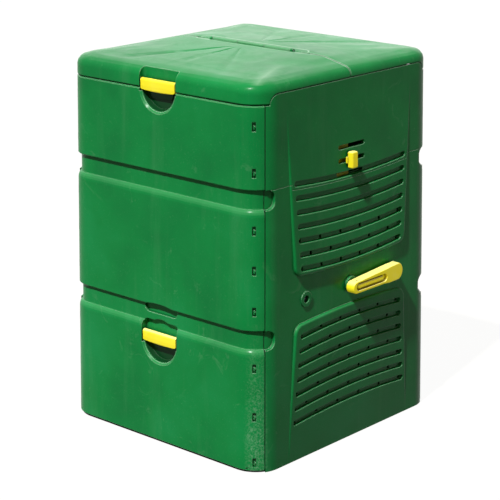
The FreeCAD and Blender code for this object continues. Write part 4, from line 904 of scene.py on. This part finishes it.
noses = add(nose_tree, "GeometryNodeInstanceOnPoints", None, Points=entry.outputs["Geometry"],
            Instance=laid, Rotation=spin)
real = add(nose_tree, "GeometryNodeRealizeInstances", None, Geometry=noses)
dressed = add(nose_tree, "GeometryNodeSetMaterial", None, Geometry=real, Material=green_polypropylene)
add(nose_tree, "NodeGroupOutput", None, Geometry=dressed)


def baked(cloud, tree, name, values):
    """Plain mesh object from a point cloud and a node tree."""
    modifier = cloud.modifiers.new("array", "NODES")
    modifier.node_group = tree
    for identifier, value in values.items():
        modifier[identifier] = value
    evaluated = cloud.evaluated_get(bpy.context.evaluated_depsgraph_get())
    mesh = bpy.data.meshes.new_from_object(evaluated)
    mesh.name = name
    cloud.modifiers.remove(modifier)
    bpy.data.objects.remove(cloud)
    print(name, len(mesh.polygons), "faces")
    return put(name, mesh)


for name, heights, ways, body in (("shell_clip_noses", SHELL_CLIPS, (-1, 1), "shell"),
                                  ("front_door_clip_noses", DOOR_CLIPS, (-1,), "door_front"),
                                  ("rear_door_clip_noses", DOOR_CLIPS, (1,), "door_rear")):
    noses_piece = baked(clip_points(name + "_points", heights, ways), nose_tree, name, nose_values)
    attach(noses_piece, body)

# %% [markdown]
# ## The floor
# The bin stands on a plain pale floor that melts into a white background. The floor and the world
# look white to the camera and in reflections, while the light that they give back to the bin is
# lower, like that of a terrace under open sky. Under the bin the floor isn't white, because no
# daylight reaches the ground there, so its white is cut out along a rounded rectangle.

# %% Floor
FLOOR_SIZE = 40.0
FLOOR_DROP = 0.5 * MM          # keeps the floor clear of the bin's underside
FLOOR_WHITE = 0.95
DARK_CORE = (("X", 0.300), ("Y", 0.318))    # half sizes, less the corner radius that rounds it
WHITE = (1.0, 1.0, 1.0, 1.0)


def seen_as_white(tree):
    """1 for rays that look at the backdrop: camera, reflection and transmission."""
    path = add(tree, "ShaderNodeLightPath")
    either = add(tree, "ShaderNodeMath", {"operation": "MAXIMUM"}, i0=path.outputs["Is Camera Ray"],
                 i1=path.outputs["Is Glossy Ray"])
    return add(tree, "ShaderNodeMath", {"operation": "MAXIMUM"}, i0=either,
               i1=path.outputs["Is Transmission Ray"])


floor_paint, paint, spot = blank_material("studio_floor_paint")
matt = add(paint, "ShaderNodeBsdfDiffuse", None, Color=linear("4A4840"))
spot = add(paint, "ShaderNodeVectorMath", {"operation": "ABSOLUTE"}, i0=spot)
spot = add(paint, "ShaderNodeSeparateXYZ", None, Vector=spot)
over_core = {}
for axis, core in DARK_CORE:
    over = add(paint, "ShaderNodeMath", {"operation": "SUBTRACT"}, i0=spot.outputs[axis], i1=core)
    over_core[axis] = add(paint, "ShaderNodeMath", {"operation": "MAXIMUM"}, i0=over, i1=0.0)
past = add(paint, "ShaderNodeCombineXYZ", None, **over_core)
past = add(paint, "ShaderNodeVectorMath", {"operation": "LENGTH"}, i0=past)
outside = add(paint, "ShaderNodeMath", {"operation": "GREATER_THAN"}, i0=past, i1=CORNER_RADIUS)
outside = add(paint, "ShaderNodeMath", {"operation": "MULTIPLY"}, i0=outside, i1=FLOOR_WHITE)
lift = add(paint, "ShaderNodeEmission", None, Color=WHITE, Strength=outside)
pale = add(paint, "ShaderNodeAddShader", None, i0=matt, i1=lift)
seen = add(paint, "ShaderNodeMixShader", None, i0=seen_as_white(paint), i1=matt, i2=pale)
add(paint, "ShaderNodeOutputMaterial", None, Surface=seen)

bpy.ops.mesh.primitive_plane_add(size=FLOOR_SIZE, location=(0.0, 0.0, -FLOOR_DROP))
floor = bpy.context.object
floor.name = "studio_floor"
floor.data.materials.append(floor_paint)
print("floor", FLOOR_SIZE, "m wide")

# %% [markdown]
# ## Suns and sky
# A high sun from the front grazes the lever side, as in the photograph: it lights the lid most, the
# front well and only the lips of the channels on the side. A weak, very soft second light from
# behind keeps the far walls readable. The sky is white to look at and gives back a low warm fill.

# %% Suns and world
SUNS = (("high_sun", 4.1, 1.6, (0.114, -0.570, 0.814)),    # strength, width in degrees, direction
        ("soft_back_light", 0.8, 70.0, (-0.62, 0.60, 0.50)))
SKY_FILL = 0.13

for name, energy, angle, direction in SUNS:
    sun_data = bpy.data.lights.new(name, "SUN")
    sun_data.energy = energy
    sun_data.angle = math.radians(angle)
    sun = put(name, sun_data)
    sun.rotation_euler = Vector(direction).to_track_quat("Z", "Y").to_euler()

world = bpy.data.worlds.new("studio_world")
bpy.context.scene.world = world
world.use_nodes = True
sky = world.node_tree
sky.nodes.clear()
fill = add(sky, "ShaderNodeBackground", None, Color=linear("F6F2C4"), Strength=SKY_FILL)
white = add(sky, "ShaderNodeBackground", None, Color=WHITE, Strength=1.0)
blend = add(sky, "ShaderNodeMixShader", None, i0=seen_as_white(sky), i1=fill, i2=white)
add(sky, "ShaderNodeOutputWorld", None, Surface=blend)
bpy.context.scene.view_settings.view_transform = "Standard"
print("suns", [name for name, *_ in SUNS])

# %% [markdown]
# ## The softbox
# A smooth lid shows a faint sheen at a grazing angle only if something bright stands behind it. A
# wide softbox, out of the camera's sight, stands on the far side of the bin and faces it.

# %% Softbox behind the bin
SOFTBOX_RANGE = 6.0
SOFTBOX_RISE = math.radians(30.0)
SOFTBOX_SIZE = (6.0, 1.7)
SOFTBOX_WHITE = 0.4            # brightness of its face, where paper white is 1

box_data = bpy.data.lights.new("softbox_behind", "AREA")
box_data.shape = "RECTANGLE"
box_data.size, box_data.size_y = SOFTBOX_SIZE
box_data.energy = SOFTBOX_WHITE * math.pi * SOFTBOX_SIZE[0] * SOFTBOX_SIZE[1]
softbox = put("softbox_behind", box_data)
behind = Vector((-math.sin(AZIMUTH) * math.cos(SOFTBOX_RISE), math.cos(AZIMUTH) * math.cos(SOFTBOX_RISE),
                 math.sin(SOFTBOX_RISE)))
softbox.location = SOFTBOX_RANGE * behind + Vector((0.0, 0.0, TARGET_HEIGHT))
softbox.rotation_euler = behind.to_track_quat("Z", "Y").to_euler()
softbox.visible_camera = False
print("softbox", round(box_data.energy, 1), "W")
